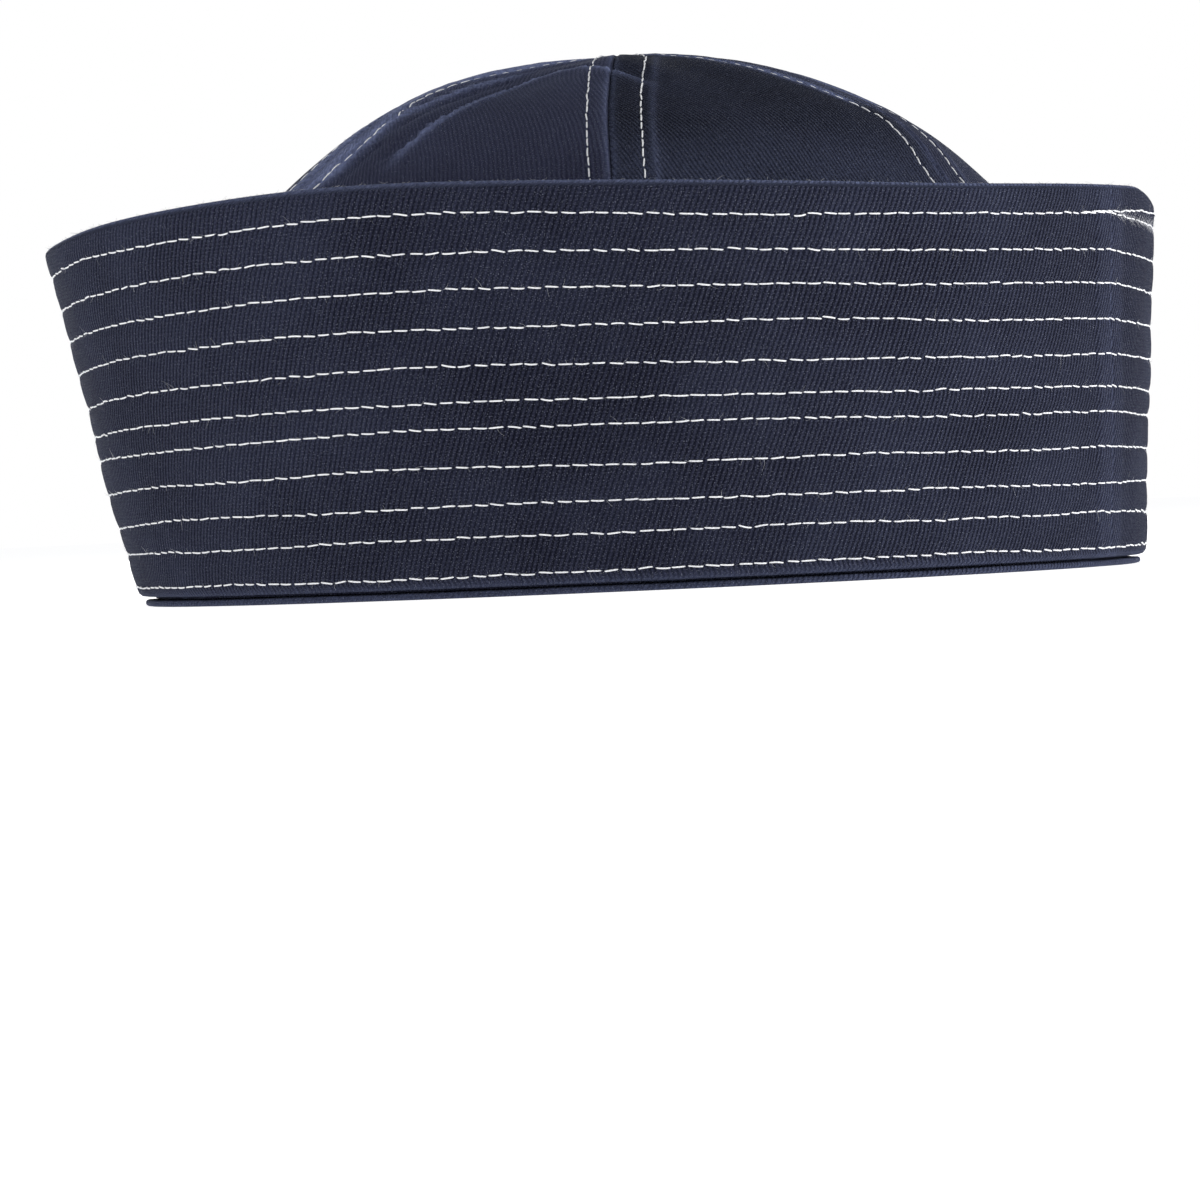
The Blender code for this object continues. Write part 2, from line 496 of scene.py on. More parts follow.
@dataclass
class ClothEffects:
    """Shader node groups that the finishes share.

    Attributes:
        yarn_drift: How often the yarns stray, per millimetre.
        yarn_length: How fast a yarn's thickness changes along it, per millimetre.
        yarn_scale: How fast a yarn's thickness changes from rib to rib.
        fibre_scale: How fine the fuzz of fibres is, per millimetre.
        float_share: How much of a rib's height comes and goes with its floats.
        yarn_share: How much a rib's height changes with its yarn's thickness.
        yarn_least: A rib's height on the thinnest yarn.
        fibre_share: How much of the weave's height is fuzz.
        scuff_scale: How fine the scuffs of a worn edge are, per millimetre.
        scuff_range: How worn the least and the most scuffed cloth is.
        patch_scale: How close the faded patches lie, per millimetre.
        speck_scale: How close the specks of dust lie, per millimetre.
        speck_range: The noise at which a speck starts and is whole.
        ply_turns: Plies of a thread.
        furrow: How light the thread's colour is painted at the bottom of the furrow between its plies, as
            painted shade.
    """

    yarn_drift: float = 0.16
    yarn_length: float = 0.16
    yarn_scale: float = 0.9
    fibre_scale: float = 3.4
    float_share: float = 0.46
    yarn_share: float = 0.9
    yarn_least: float = 0.55
    fibre_share: float = 0.6
    scuff_scale: float = 1.1
    scuff_range: tuple[float, float] = (0.45, 1.08)
    patch_scale: float = 0.045
    speck_scale: float = 4.4
    speck_range: tuple[float, float] = (0.66, 0.78)
    ply_turns: float = 2.0
    furrow: float = 0.55
    weave: bpy.types.NodeTree = field(init=False)
    fade: bpy.types.NodeTree = field(init=False)
    plies: bpy.types.NodeTree = field(init=False)

    def __post_init__(self) -> None:
        """Builds each group once."""
        self.weave = self.twill_weave()
        self.fade = self.cloth_fade_and_sheen()
        self.plies = self.thread_plies()

    def twill_weave(self) -> bpy.types.NodeTree:
        """Builds the twill: slanting ribs of short floats, with uneven yarns.

        Returns:
            The group, which puts out the weave's height.
        """
        number = "NodeSocketFloat"
        inputs = {"Map": "NodeSocketVector", "Grain": number, "Lean": number, "Rib Pitch": number}
        inputs |= {"Float Pitch": number, "Wobble": number}
        bench, given, result = new_group("twill_weave", inputs, ("Height",))
        turn = {"Vector": given.outputs["Map"], "Angle": given.outputs["Grain"]}
        cloth = bench.add("ShaderNodeVectorRotate", turn, rotation_type="Z_AXIS").outputs[0]
        drift = bench.math("SUBTRACT", bench.noise(cloth, self.yarn_drift, 2.0), 0.5)
        split = bench.add("ShaderNodeSeparateXYZ", {"Vector": cloth})
        across = bench.math("MULTIPLY_ADD", drift, given.outputs["Wobble"], split.outputs[0])
        up = split.outputs[1]
        sine = bench.math("SINE", given.outputs["Lean"])
        cosine = bench.math("COSINE", given.outputs["Lean"])
        slant = bench.math(
            "SUBTRACT", bench.math("MULTIPLY", across, sine), bench.math("MULTIPLY", up, cosine)
        )
        along = bench.math(
            "ADD", bench.math("MULTIPLY", across, cosine), bench.math("MULTIPLY", up, sine)
        )
        phase = bench.math("DIVIDE", slant, given.outputs["Rib Pitch"])
        ribs = bench.wave(phase)
        floats = bench.wave(bench.math("DIVIDE", up, given.outputs["Float Pitch"]))
        yarn_place = {"X": phase, "Y": bench.math("MULTIPLY", along, self.yarn_length)}
        yarn_place = bench.add("ShaderNodeCombineXYZ", yarn_place).outputs[0]
        yarn = bench.noise(yarn_place, self.yarn_scale, 1.0)
        fibre = bench.noise(cloth, self.fibre_scale, 3.0)
        float_height = bench.math("MULTIPLY_ADD", floats, self.float_share, 1.0 - self.float_share)
        raised = bench.math("MULTIPLY", ribs, float_height)
        yarn_height = bench.math("MULTIPLY_ADD", yarn, self.yarn_share, self.yarn_least)
        uneven = bench.math("MULTIPLY", raised, yarn_height)
        fuzz = bench.math("MULTIPLY_ADD", fibre, self.fibre_share, -self.fibre_share / 2.0)
        height = bench.math("ADD", uneven, fuzz)
        bench.feed(result.inputs["Height"], bench.math("MAXIMUM", height, 0.0))
        return bench.tree

    def cloth_fade_and_sheen(self) -> bpy.types.NodeTree:
        """Builds the fading: worn edges and painted sheen and light from a mask, and soft patches.

        Returns:
            The group, which puts out how faded the cloth is, with the mask's painted sheen and light, and
            where a speck of dust lies.
        """
        number = "NodeSocketFloat"
        inputs = {"Map": "NodeSocketVector", "Wear And Sheen": number, "Patches": number}
        bench, given, result = new_group("cloth_fade_and_sheen", inputs, ("Fade", "Speck"))
        place = given.outputs["Map"]
        scuffs = bench.spread(bench.noise(place, self.scuff_scale, 3.0), 0.3, 0.7, *self.scuff_range)
        # The mask's wear and painted sheen and light, broken up by scuffs.
        rubbed = bench.math("MULTIPLY", given.outputs["Wear And Sheen"], scuffs)
        cloud = bench.spread(bench.noise(place, self.patch_scale, 3.0), 0.35, 0.7)
        patches = bench.math("MULTIPLY", cloud, given.outputs["Patches"])
        bench.feed(result.inputs["Fade"], bench.math("ADD", rubbed, patches))
        dust = bench.spread(bench.noise(place, self.speck_scale, 1.0), *self.speck_range)
        bench.feed(result.inputs["Speck"], dust)
        return bench.tree

    def thread_plies(self) -> bpy.types.NodeTree:
        """Builds the plies that wind round a thread.

        Returns:
            The group, which puts out the plies' height and how light the thread is there, darker in the
            furrows as painted shade.
        """
        inputs = {"Map": "NodeSocketVector", "Pitch": "NodeSocketFloat"}
        bench, given, result = new_group("thread_plies", inputs, ("Height", "Light"))
        split = bench.add("ShaderNodeSeparateXYZ", {"Vector": given.outputs["Map"]})
        along = bench.math("DIVIDE", split.outputs[0], given.outputs["Pitch"])
        plies = bench.wave(bench.math("MULTIPLY_ADD", split.outputs[1], self.ply_turns, along))
        bench.feed(result.inputs["Height"], plies)
        # Painted shade: the thread's colour is darker in the furrows between its plies.
        bench.feed(result.inputs["Light"], bench.spread(plies, 0.0, 0.5, self.furrow, 1.0))
        return bench.tree


@dataclass(frozen=True)
class TwillFinish:
    """Navy cotton twill, cut with its grain turned on the piece.

    Attributes:
        name: The material's name.
        grain: Degrees that the cloth is turned on the piece.
        valley: Colour between the ribs, darker partly as painted shade in the valleys and partly as the
            weave's own pattern.
        rib: Colour on the ribs, lighter partly as a painted highlight on their crests and partly as the
            weave's own pattern.
        faded: Colour of worn cloth, and of the painted sheen, highlights and light that the wear mask
            carries.
        speck: Colour of a speck of dust.
        lean: Degrees between a rib and the cloth's cross threads.
        rib_pitch: Millimetres from one rib to the next.
        float_pitch: Millimetres from one float to the next.
        wobble: How far the ribs stray from a straight line.
        patches: How faded the soft patches are.
        dustiness: How clearly the specks show.
        relief: Height of the weave.
        relief_strength: How strongly that height shades.
        roughness: Roughness between the ribs and on them.
        specular: Strength of the plain shine.
        sheen: Strength of the fuzz that catches light from the side.
        sheen_roughness: How widely that fuzz spreads light.
        sheen_tint: Its colour.
    """

    name: str
    grain: float = 0.0
    valley: Colour = (0.0040, 0.0046, 0.0112)
    rib: Colour = (0.0300, 0.0324, 0.0615)
    faded: Colour = (0.1850, 0.2200, 0.3900)
    speck: Colour = (0.2100, 0.2250, 0.2900)
    lean: float = 66.5
    rib_pitch: float = 0.93
    float_pitch: float = 0.66
    wobble: float = 0.4
    patches: float = 0.04
    dustiness: float = 0.8
    relief: float = 0.00055
    relief_strength: float = 1.0
    roughness: tuple[float, float] = (0.95, 0.78)
    specular: float = 0.06
    sheen: float = 0.10
    sheen_roughness: float = 0.45
    sheen_tint: Colour = (0.42, 0.50, 0.80)

    def build(self, effects: ClothEffects) -> bpy.types.Material:
        """Makes the material.

        Args:
            effects: The node groups for weave and fading.

        Returns:
            The material.
        """
        material, bench, surface = new_material(self.name)
        place = bench.add("ShaderNodeUVMap", uv_map=CLOTH_MAP).outputs[0]
        wear_and_sheen = bench.add("ShaderNodeAttribute", attribute_name=WEAR_AND_SHEEN_MASK).outputs["Fac"]
        cut = {
            "Map": place,
            "Grain": math.radians(-self.grain),
            "Lean": math.radians(self.lean),
            "Rib Pitch": self.rib_pitch,
            "Float Pitch": self.float_pitch,
            "Wobble": self.wobble,
        }
        height = bench.add("ShaderNodeGroup", cut, node_tree=effects.weave).outputs["Height"]
        use = {"Map": place, "Wear And Sheen": wear_and_sheen, "Patches": self.patches}
        fade = bench.add("ShaderNodeGroup", use, node_tree=effects.fade)
        # Painted shade and highlight: the weave's height darkens the valleys between the ribs and lightens
        # the ribs, on top of the bump.
        woven = bench.mix(bench.spread(height, 0.05, 0.95), self.valley, self.rib)
        # Worn edges and the mask's painted sheen, highlights and light lighten the cloth towards the faded
        # colour.
        worn = bench.mix(fade.outputs["Fade"], woven, self.faded)
        dusty = bench.mix(bench.math("MULTIPLY", fade.outputs["Speck"], self.dustiness), worn, self.speck)
        relief = {"Height": height, "Strength": self.relief_strength, "Distance": self.relief}
        looks = {
            "Base Color": dusty,
            "Roughness": bench.spread(height, 0.0, 1.0, *self.roughness),
            "Normal": bench.add("ShaderNodeBump", relief).outputs[0],
            "Specular IOR Level": self.specular,
            "Sheen Weight": self.sheen,
            "Sheen Roughness": self.sheen_roughness,
            "Sheen Tint": (*self.sheen_tint, 1.0),
        }
        bench.feed_all(surface, looks)
        return material


# Painted light and shade: gore 1 takes a lighter copy of the twill's colours and gore 2 a darker copy,
# standing in for how light falls on them.
LIT_GORE_VALLEY = (0.0180, 0.0198, 0.0390)
LIT_GORE_RIB = (0.0360, 0.0392, 0.0745)
SHADED_GORE_VALLEY = (0.0009, 0.0010, 0.0030)
SHADED_GORE_RIB = (0.0128, 0.0144, 0.0292)

GORE_CUTS = (
    TwillFinish(
        "crown_twill_1", grain=52.0, rib_pitch=0.82, valley=LIT_GORE_VALLEY, rib=LIT_GORE_RIB, relief=0.00012
    ),
    TwillFinish(
        "crown_twill_2", grain=37.0, rib_pitch=0.86, valley=SHADED_GORE_VALLEY, rib=SHADED_GORE_RIB, relief=0.00060
    ),
    TwillFinish("crown_twill_3", grain=-8.0, rib_pitch=0.84, relief=0.00022),
    TwillFinish("crown_twill_4", grain=15.0, rib_pitch=0.84, relief=0.00022),
    TwillFinish("crown_twill_5", grain=4.0, rib_pitch=0.84, relief=0.00022),
    TwillFinish("crown_twill_6", grain=30.0, rib_pitch=0.84, relief=0.00022),
)


@dataclass(frozen=True)
class ThreadFinish:
    """White sewing thread of two plies.

    Attributes:
        name: The material's name.
        dull: Colour of a shaded strand.
        bright: Colour of a clean strand.
        ply_pitch: Millimetres along the thread in which a ply winds once round it.
        ply_relief: Height of the plies.
        ply_strength: How strongly that height shades.
        roughness: The thread's roughness.
        sheen: Strength of the fuzz that catches light from the side.
    """

    name: str = "white_thread"
    dull: Colour = (0.76, 0.77, 0.82)
    bright: Colour = (0.98, 0.985, 1.0)
    ply_pitch: float = 0.75
    ply_relief: float = 0.00007
    ply_strength: float = 0.6
    roughness: float = 0.6
    sheen: float = 0.15

    def build(self, effects: ClothEffects) -> bpy.types.Material:
        """Makes the material.

        Args:
            effects: The node groups, of which the plies are used.

        Returns:
            The material, whose plies slant round the thread.
        """
        material, bench, surface = new_material(self.name)
        place = bench.add("ShaderNodeUVMap", uv_map=CLOTH_MAP).outputs[0]
        tint = bench.add("ShaderNodeAttribute", attribute_name=TINT_MASK).outputs["Fac"]
        winding = {"Map": place, "Pitch": self.ply_pitch}
        plies = bench.add("ShaderNodeGroup", winding, node_tree=effects.plies)
        shade = bench.math("MULTIPLY", tint, plies.outputs["Light"])
        relief = {"Height": plies.outputs["Height"]}
        relief |= {"Strength": self.ply_strength, "Distance": self.ply_relief}
        looks = {
            "Base Color": bench.mix(shade, self.dull, self.bright),
            "Roughness": self.roughness,
            "Normal": bench.add("ShaderNodeBump", relief).outputs[0],
            "Sheen Weight": self.sheen,
        }
        bench.feed_all(surface, looks)
        return material


@dataclass
class CapFrame:
    """Sizes of the cap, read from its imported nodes.

    Attributes:
        nodes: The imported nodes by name.
        lip_setback: How far the headband's lip stands back from the brim's lower edge.
        wall: The brim's packed wall.
        stations: How many places round the cap are read.
        rim_waves: How many waves round the cap the rim's height keeps.
        rim_heights: The rim's height at each of those places.
    """

    nodes: dict[str, bpy.types.Object]
    lip_setback: float = 1.2 * MM
    wall: float = 3.0 * MM
    stations: int = 72
    rim_waves: int = 12
    rim_heights: np.ndarray = field(init=False)

    def __post_init__(self) -> None:
        """Reads the brim's and the headband's sizes."""
        low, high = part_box("brim")
        lip_low, lip_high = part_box("headband")
        self.brim_foot = low.z
        self.rim_half_width = high.x
        self.rim_half_length = high.y
        self.foot_half_width = lip_high.x + self.lip_setback
        self.foot_half_length = (lip_high.y - lip_low.y) / 2.0 + self.lip_setback
        self.foot_centre = (lip_high.y + lip_low.y) / 2.0
        self.band_top = lip_high.z
        tree = self.tree("brim")
        heights = []
        for turn in self.turns():
            angle = math.radians(turn)
            over = Vector(
                (
                    (self.rim_half_width - self.wall / 2.0) * math.sin(angle),
                    -(self.rim_half_length - self.wall / 2.0) * math.cos(angle),
                    2.0 * high.z,
                )
            )
            heights.append(tree.ray_cast(over, Vector((0.0, 0.0, -1.0)))[0].z)
        self.rim_heights = np.array(heights)

    def turns(self) -> np.ndarray:
        """The turns at which the cap is read."""
        return np.arange(self.stations) * 360.0 / self.stations

    def tree(self, *names: str) -> BVHTree:
        """A tree of the named nodes' faces, for rays.

        Args:
            names: The nodes.

        Returns:
            The tree.
        """
        points: list[Vector] = []
        faces: list[tuple[int, ...]] = []
        for name in names:
            mesh = self.nodes[name].data
            start = len(points)
            points += [vertex.co.copy() for vertex in mesh.vertices]
            faces += [tuple(start + index for index in face.vertices) for face in mesh.polygons]
        return BVHTree.FromPolygons(points, faces)

    def rim_height(self, turns: np.ndarray) -> np.ndarray:
        """Height of the rim at each turn."""
        return round_curve(self.rim_heights, turns, self.rim_waves)


@dataclass
class CrownForm:
    """The crown's outer face, read from its packed gores and smoothed.

    Attributes:
        frame: The cap's sizes.
        gores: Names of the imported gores.
        climb_step: Degrees between the climbs that are read.
        turn_waves: How many waves round the crown are kept.
        lean: How far the crown's tip leans forwards.
        table: How far the face lies along each step, as climbs and turns.
    """

    frame: CapFrame
    gores: tuple[str, ...]
    climb_step: float = 2.5
    turn_waves: int = 26
    lean: float = 1.2 * MM
    table: np.ndarray = field(init=False)

    def __post_init__(self) -> None:
        """Reads the face from outside, along rays through the middle of the crown's lower edge."""
        boxes = [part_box(name) for name in self.gores]
        low = np.min([box[0] for box in boxes], axis=0)
        high = np.max([box[1] for box in boxes], axis=0)
        self.half_width = (high[0] - low[0]) / 2.0
        self.half_length = (high[1] - low[1]) / 2.0
        self.height = high[2] - low[2]
        self.centre = np.array([0.0, (high[1] + low[1]) / 2.0, low[2]])
        tree = self.frame.tree(*self.gores)
        climbs = np.arange(0.0, 90.0 + self.climb_step / 2.0, self.climb_step)
        probed = np.clip(climbs, 1.0, 88.0)
        rows = [[self.probe(tree, turn, climb) for turn in self.frame.turns()] for climb in probed]
        table = np.array(rows)
        table[-1] = table[-1].mean()
        padded = np.concatenate([table[:2][::-1], table, table[-3:-1][::-1]])
        weights = (1.0, 2.0, 3.0, 2.0, 1.0)
        self.table = sum(w * padded[i : i + len(table)] for i, w in enumerate(weights)) / sum(weights)

    def direction(self, turns: np.ndarray, climb: float) -> np.ndarray:
        """Steps from the centre that would reach an even dome of the crown's sizes.

        Args:
            turns: Degrees round the cap.
            climb: Degrees up the crown.

        Returns:
            One step for each turn.
        """
        angles = np.radians(turns)
        level, rise = math.cos(math.radians(climb)), math.sin(math.radians(climb))
        return np.stack(
            [
                self.half_width * np.sin(angles) * level,
                -self.half_length * np.cos(angles) * level,
                np.full(angles.shape, self.height * rise),
            ],
            axis=-1,
        )

    def axis(self, climb: float) -> np.ndarray:
        """The point of the leaning axis that rays at one climb run through."""
        return self.centre - np.array([0.0, self.lean * math.sin(math.radians(climb)), 0.0])

    def probe(self, tree: BVHTree, turn: float, climb: float) -> float:
        """How far the face lies along one step, looking past the slit between two gores.

        Args:
            tree: The gores' faces.
            turn: Degrees round the cap.
            climb: Degrees up the crown.

        Returns:
            The distance in steps.
        """
        found = []
        aside = 0.35 / math.cos(math.radians(climb))
        for beside in (-aside, aside):
            step = self.direction(np.array(turn + beside), climb)
            start = Vector(self.axis(climb) + 1.6 * step)
            hit = tree.ray_cast(start, Vector(-step).normalized())[0]
            if hit is not None:
                found.append(np.linalg.norm(np.array(hit) - self.axis(climb)) / np.linalg.norm(step))
        return max(found)

    def points(self, turns: np.ndarray, climb: float) -> np.ndarray:
        """Points on the face at one climb.

        Args:
            turns: Degrees round the cap.
            climb: Degrees up the crown.

        Returns:
            One point for each turn.
        """
        place = min(climb / self.climb_step, len(self.table) - 1 - 1e-6)
        index = int(place)
        share = place - index
        near = [self.table[min(max(index + step, 0), len(self.table) - 1)] for step in (-1, 0, 1, 2)]
        level = near[1] + 0.5 * share * (
            near[2]
            - near[0]
            + share * (2.0 * near[0] - 5.0 * near[1] + 4.0 * near[2] - near[3])
            + share**2 * (3.0 * (near[1] - near[2]) + near[3] - near[0])
        )
        reach = round_curve(level, turns, self.turn_waves)
        return self.axis(climb) + self.direction(turns, climb) * reach[..., None]


@dataclass
class Stitcher:
    """Lays rows of lockstitches along paths on cloth.

    Attributes:
        pitch: From one stitch to the next.
        fill: Share of the pitch that shows thread.
        thread: Half the thread's width.
        flatness: The thread's height as a share of its width.
        lift: How far a stitch's middle stands over the groove.
        sink: How far a stitch's ends lie under it.
        slant: How far each stitch leans across its row.
        bow: How far a stitch bends or strays sideways.
        uneven: How much the stitches' lengths differ.
        rings: Mesh rings along a stitch.
        sides: Corners of a ring.
        lines: Centre lines of the stitches laid so far.
        ups: The cloth's normals along them.
        tints: How clean each stitch is.
    """

    pitch: float = 3.1 * MM
    fill: float = 0.97
    thread: float = 0.172 * MM
    flatness: float = 0.85
    lift: float = 0.14 * MM
    sink: float = 0.15 * MM
    slant: float = 0.15 * MM
    bow: float = 0.06 * MM
    uneven: float = 0.06
    rings: int = 7
    sides: int = 6
    lines: list[np.ndarray] = field(default_factory=list)
    ups: list[np.ndarray] = field(default_factory=list)
    tints: list[np.ndarray] = field(default_factory=list)

    def lay(self, points: np.ndarray, normals: np.ndarray, seed: int, closed: bool = False) -> None:
        """Lays one row of stitches.

        Args:
            points: The row's path on the cloth.
            normals: The cloth's normals there.
            seed: Seed for the stitches' small differences.
            closed: Whether the path ends where it starts.
        """
        if closed:
            points = np.concatenate([points, points[:1]])
            normals = np.concatenate([normals, normals[:1]])
        along = path_length(points)
        count = max(1, round(along[-1] / self.pitch))
        step = along[-1] / count
        draw = np.random.default_rng(seed)
        share = np.linspace(0.0, 1.0, self.rings)
        middle = (np.arange(count) + 0.5 + draw.normal(0.0, self.uneven * 0.6, count)) * step
        length = step * self.fill * (1.0 + draw.normal(0.0, self.uneven, count))
        places = middle[:, None] + length[:, None] * (share - 0.5)
        line = np.stack([np.interp(places, along, points[:, axis]) for axis in range(3)], axis=-1)
        up = unit(np.stack([np.interp(places, along, normals[:, axis]) for axis in range(3)], axis=-1))
        side = unit(np.cross(up, np.gradient(line, axis=1)))
        arch = np.sin(np.pi * share) ** 0.5
        height = (self.lift + self.sink) * arch - self.sink
        height = height[None, :] * (1.0 + draw.normal(0.0, 0.12, (count, 1)))
        lean = self.slant * draw.normal(0.8, 1.3, (count, 1)) * (0.5 - share)
        bow = self.bow * draw.normal(0.0, 1.0, (count, 1)) * np.sin(np.pi * share)
        drift = self.bow * draw.normal(0.0, 1.0, (count, 1))
        self.lines.append(line + up * height[..., None] + side * (lean + bow + drift)[..., None])
        self.ups.append(up)
        self.tints.append(np.clip(draw.normal(0.8, 0.16, count), 0.2, 1.0))

    def build(self, name: str, material: bpy.types.Material) -> bpy.types.Object:
        """Makes all the laid rows into one piece.

        Args:
            name: The piece's name.
            material: The thread.

        Returns:
            The piece.
        """
        lines = np.concatenate(self.lines)
        share = np.linspace(-1.0, 1.0, self.rings)
        taper = self.thread * np.sqrt(1.0 - 0.75 * share**6)
        radii = np.stack([taper * self.flatness, taper], axis=-1)
        radii = np.broadcast_to(radii, (len(lines), self.rings, 2))
        mesh = strand_mesh(name, lines, np.concatenate(self.ups), radii, self.sides)
        add_mask(mesh, TINT_MASK, np.repeat(np.concatenate(self.tints), self.rings * self.sides))
        return add_piece(mesh, material, Slot.STITCHING)


# Millimetres from a row of stitches to the mesh lines beside it, on each face of the brim.
OUTER_BESIDE_ROW = (-0.8, -0.35, 0.0, 0.35, 0.8)
INNER_BESIDE_ROW = (0.7, 0.0, -0.7)

# Millimetres from the top row to the mesh lines over it, and from any row to the edge of its channel.
OUTER_OVER_TOP_ROW = (1.7, 2.9, 4.0)
INNER_OVER_TOP_ROW = (4.0, 2.2)
CHANNEL_EDGE = 1.7

# Degrees from the brim's seam to the mesh columns close to it.
BESIDE_BRIM_SEAM = (0.06, 0.22, 0.45, 0.75, 1.1)


@dataclass
class Brim:
    """The turned-up brim: one folded, quilted band with eleven rows of stitches.

    Attributes:
        frame: The cap's sizes.
        seam_turn: Where the band's ends are joined.
        row_shares: The stitch rows, from the fold up.
        wall: Thickness between the rows.
        rim_round: Height of the rim's fold.
        foot_round: Height of the lower fold.
        rim_lift: How far the rim rises towards the seam.
        lift_place: Degrees from the seam to where the rim stands highest.
        lift_reach: Degrees over which that rise fades.
        seam_drop: How far the cloth has slipped down past the seam.
        slip_reach: Degrees past the seam in which the rows slip down.
        rim_slip: Degrees past the seam between which the rim slips down.
        slip_end: Degrees past the seam between which the slip is made good again.
        top_dip: How far the top row dips.
        dip_turn: Where it dips.
        dip_reach: Degrees over which the dip fades.
        puff: How far the cloth swells between the rows.
        puff_reach: Millimetres from a row to where the swell stands.
        groove: How deep a row pulls the cloth in.
        groove_reach: Millimetres over which the groove fades.
        groove_change: How much the groove's depth changes along a row.
        pucker: Height of the puckers beside a row.
        pucker_reach: Millimetres over which the puckers fade.
        foot_fade: Millimetres over the lower fold in which the relief rises.
        rim_fade: Millimetres under the rim in which the relief fades.
        inner_relief: How strong the relief is on the inner face.
        wave: Height of the slow waves of the whole band.
        upper_step: Height of the joined end that lies on top.
        lower_step: Height of the turned-in cloth beside it.
        joint_groove: Depth of the joint.
        turned_in: Millimetres from the joint between which the turned-in cloth ends.
        rim_rub: How rubbed the rim's edge is.
        foot_rub: How rubbed the lower fold is.
        joint_rub: How rubbed the joint is.
        turned_rub: How rubbed the turned-in cloth is.
        tack_turns: Degrees past the seam between which the top row is sewn twice.
        tack_rise: How far the second pass starts over the first.
        tack_stand: How far it stands on the cloth.
        row_wander: How far the rows stray from an even line.
        map_height: Millimetres up the outer face on the cloth map.
        columns: Mesh columns round the band.
        turns: The columns' turns.
        grid: The cloth's mesh points, as lines and columns.
        normals: The cloth's normals there.
        shares: The mesh points' shares.
        stitch_lines: The mesh line of each row on each face.
        rim_line: The mesh line on top of the rim.
    """

    frame: CapFrame
    seam_turn: float = 141.5
    row_shares: tuple[float, ...] = (
        0.032, 0.126, 0.206, 0.300, 0.396, 0.463, 0.549, 0.646, 0.739, 0.828, 0.923
    )
    wall: float = 2.75 * MM
    rim_round: float = 1.0 * MM
    foot_round: float = 1.9 * MM
    rim_lift: float = 0.35 * MM
    lift_place: float = -8.0
    lift_reach: float = 34.0
    seam_drop: float = 2.8 * MM
    slip_reach: float = 26.0
    rim_slip: tuple[float, float] = (8.0, 22.0)
    slip_end: tuple[float, float] = (45.0, 110.0)
    top_dip: float = 0.6 * MM
    dip_turn: float = 96.0
    dip_reach: float = 11.0
    puff: float = 0.22 * MM
    puff_reach: float = 1.5
    groove: float = 0.19 * MM
    groove_reach: float = 0.5
    groove_change: float = 0.35
    pucker: float = 0.13 * MM
    pucker_reach: float = 2.4
    foot_fade: float = 2.5
    rim_fade: float = 3.0
    inner_relief: float = 0.6
    wave: float = 0.45 * MM
    upper_step: float = 0.42 * MM
    lower_step: float = 0.16 * MM
    joint_groove: float = 0.12 * MM
    turned_in: tuple[float, float] = (5.5, 8.0)
    rim_rub: float = 0.75
    foot_rub: float = 0.18
    joint_rub: float = 0.42
    turned_rub: float = 0.06
    tack_turns: tuple[float, float] = (-6.5, 22.5)
    tack_rise: float = 0.25 * MM
    tack_stand: float = 0.22 * MM
    row_wander: float = 0.28 * MM
    map_height: float = 74.0
    columns: int = 636
    turns: np.ndarray = field(init=False)
    grid: np.ndarray = field(init=False)
    normals: np.ndarray = field(init=False)
    shares: np.ndarray = field(init=False)
    stitch_lines: dict[tuple[Face, int], int] = field(default_factory=dict)
    rim_line: int = field(init=False)

    def __post_init__(self) -> None:
        """Sets the columns, which are close together at the seam."""
        close = np.array(BESIDE_BRIM_SEAM)
        even = np.linspace(1.6, 360.0 - 1.6, self.columns - 2 * len(close))
        self.turns = self.seam_turn + np.concatenate([close, even, 360.0 - close[::-1]])

    def past_seam(self, turns: np.ndarray) -> np.ndarray:
        """Degrees past the seam, from 0 to 360."""
        return (np.asarray(turns) - self.seam_turn) % 360.0

    def seam_arc(self) -> np.ndarray:
        """Millimetres from the seam to each column, by the shorter way round."""
        past = self.past_seam(self.turns)
        return np.radians(np.minimum(past, 360.0 - past)) * self.frame.rim_half_length / MM

    def rim(self, turns: np.ndarray) -> np.ndarray:
        """Height of the rim, which drops past the seam and comes back behind."""
        lift = self.rim_lift * bell(turn_gap(turns, self.seam_turn + self.lift_place), self.lift_reach)
        return self.frame.rim_height(turns) + lift - self.rim_drop(turns)

    def drop(self, turns: np.ndarray) -> np.ndarray:
        """How far the rows past the seam have slipped down, which is made good again behind.

        Args:
            turns: Degrees round the cap.

        Returns:
            The slip at each turn.
        """
        past = self.past_seam(turns)
        ramp = 1.0 - (1.0 - np.clip(past / self.slip_reach, 0.0, 1.0)) ** 2
        return self.seam_drop * ramp * (1.0 - eased(past, *self.slip_end))

    def rim_drop(self, turns: np.ndarray) -> np.ndarray:
        """How far the rim has slipped down, which starts later than the rows' slip."""
        past = self.past_seam(turns)
        return self.seam_drop * eased(past, *self.rim_slip) * (1.0 - eased(past, *self.slip_end))

    def slope(self, turns: np.ndarray) -> np.ndarray:
        """Length of the outer face from the lower fold to the rim."""
        flare = self.frame.rim_half_width - self.frame.foot_half_width
        return np.hypot(self.rim(turns) - self.frame.brim_foot, flare)

    def base(self, turns: np.ndarray, shares: np.ndarray) -> np.ndarray:
        """Points on the even outer face, before any relief.

        Args:
            turns: Degrees round the cap.
            shares: Shares of the brim's height.

        Returns:
            One point for each place.
        """
        frame, angles = self.frame, np.radians(turns)
        width = frame.foot_half_width + (frame.rim_half_width - frame.foot_half_width) * shares
        length = frame.foot_half_length + (frame.rim_half_length - frame.foot_half_length) * shares
        rise = frame.brim_foot + (self.rim(turns) - frame.brim_foot) * shares
        back = frame.foot_centre * (1.0 - shares)
        return np.stack([width * np.sin(angles), back - length * np.cos(angles), rise], axis=-1)

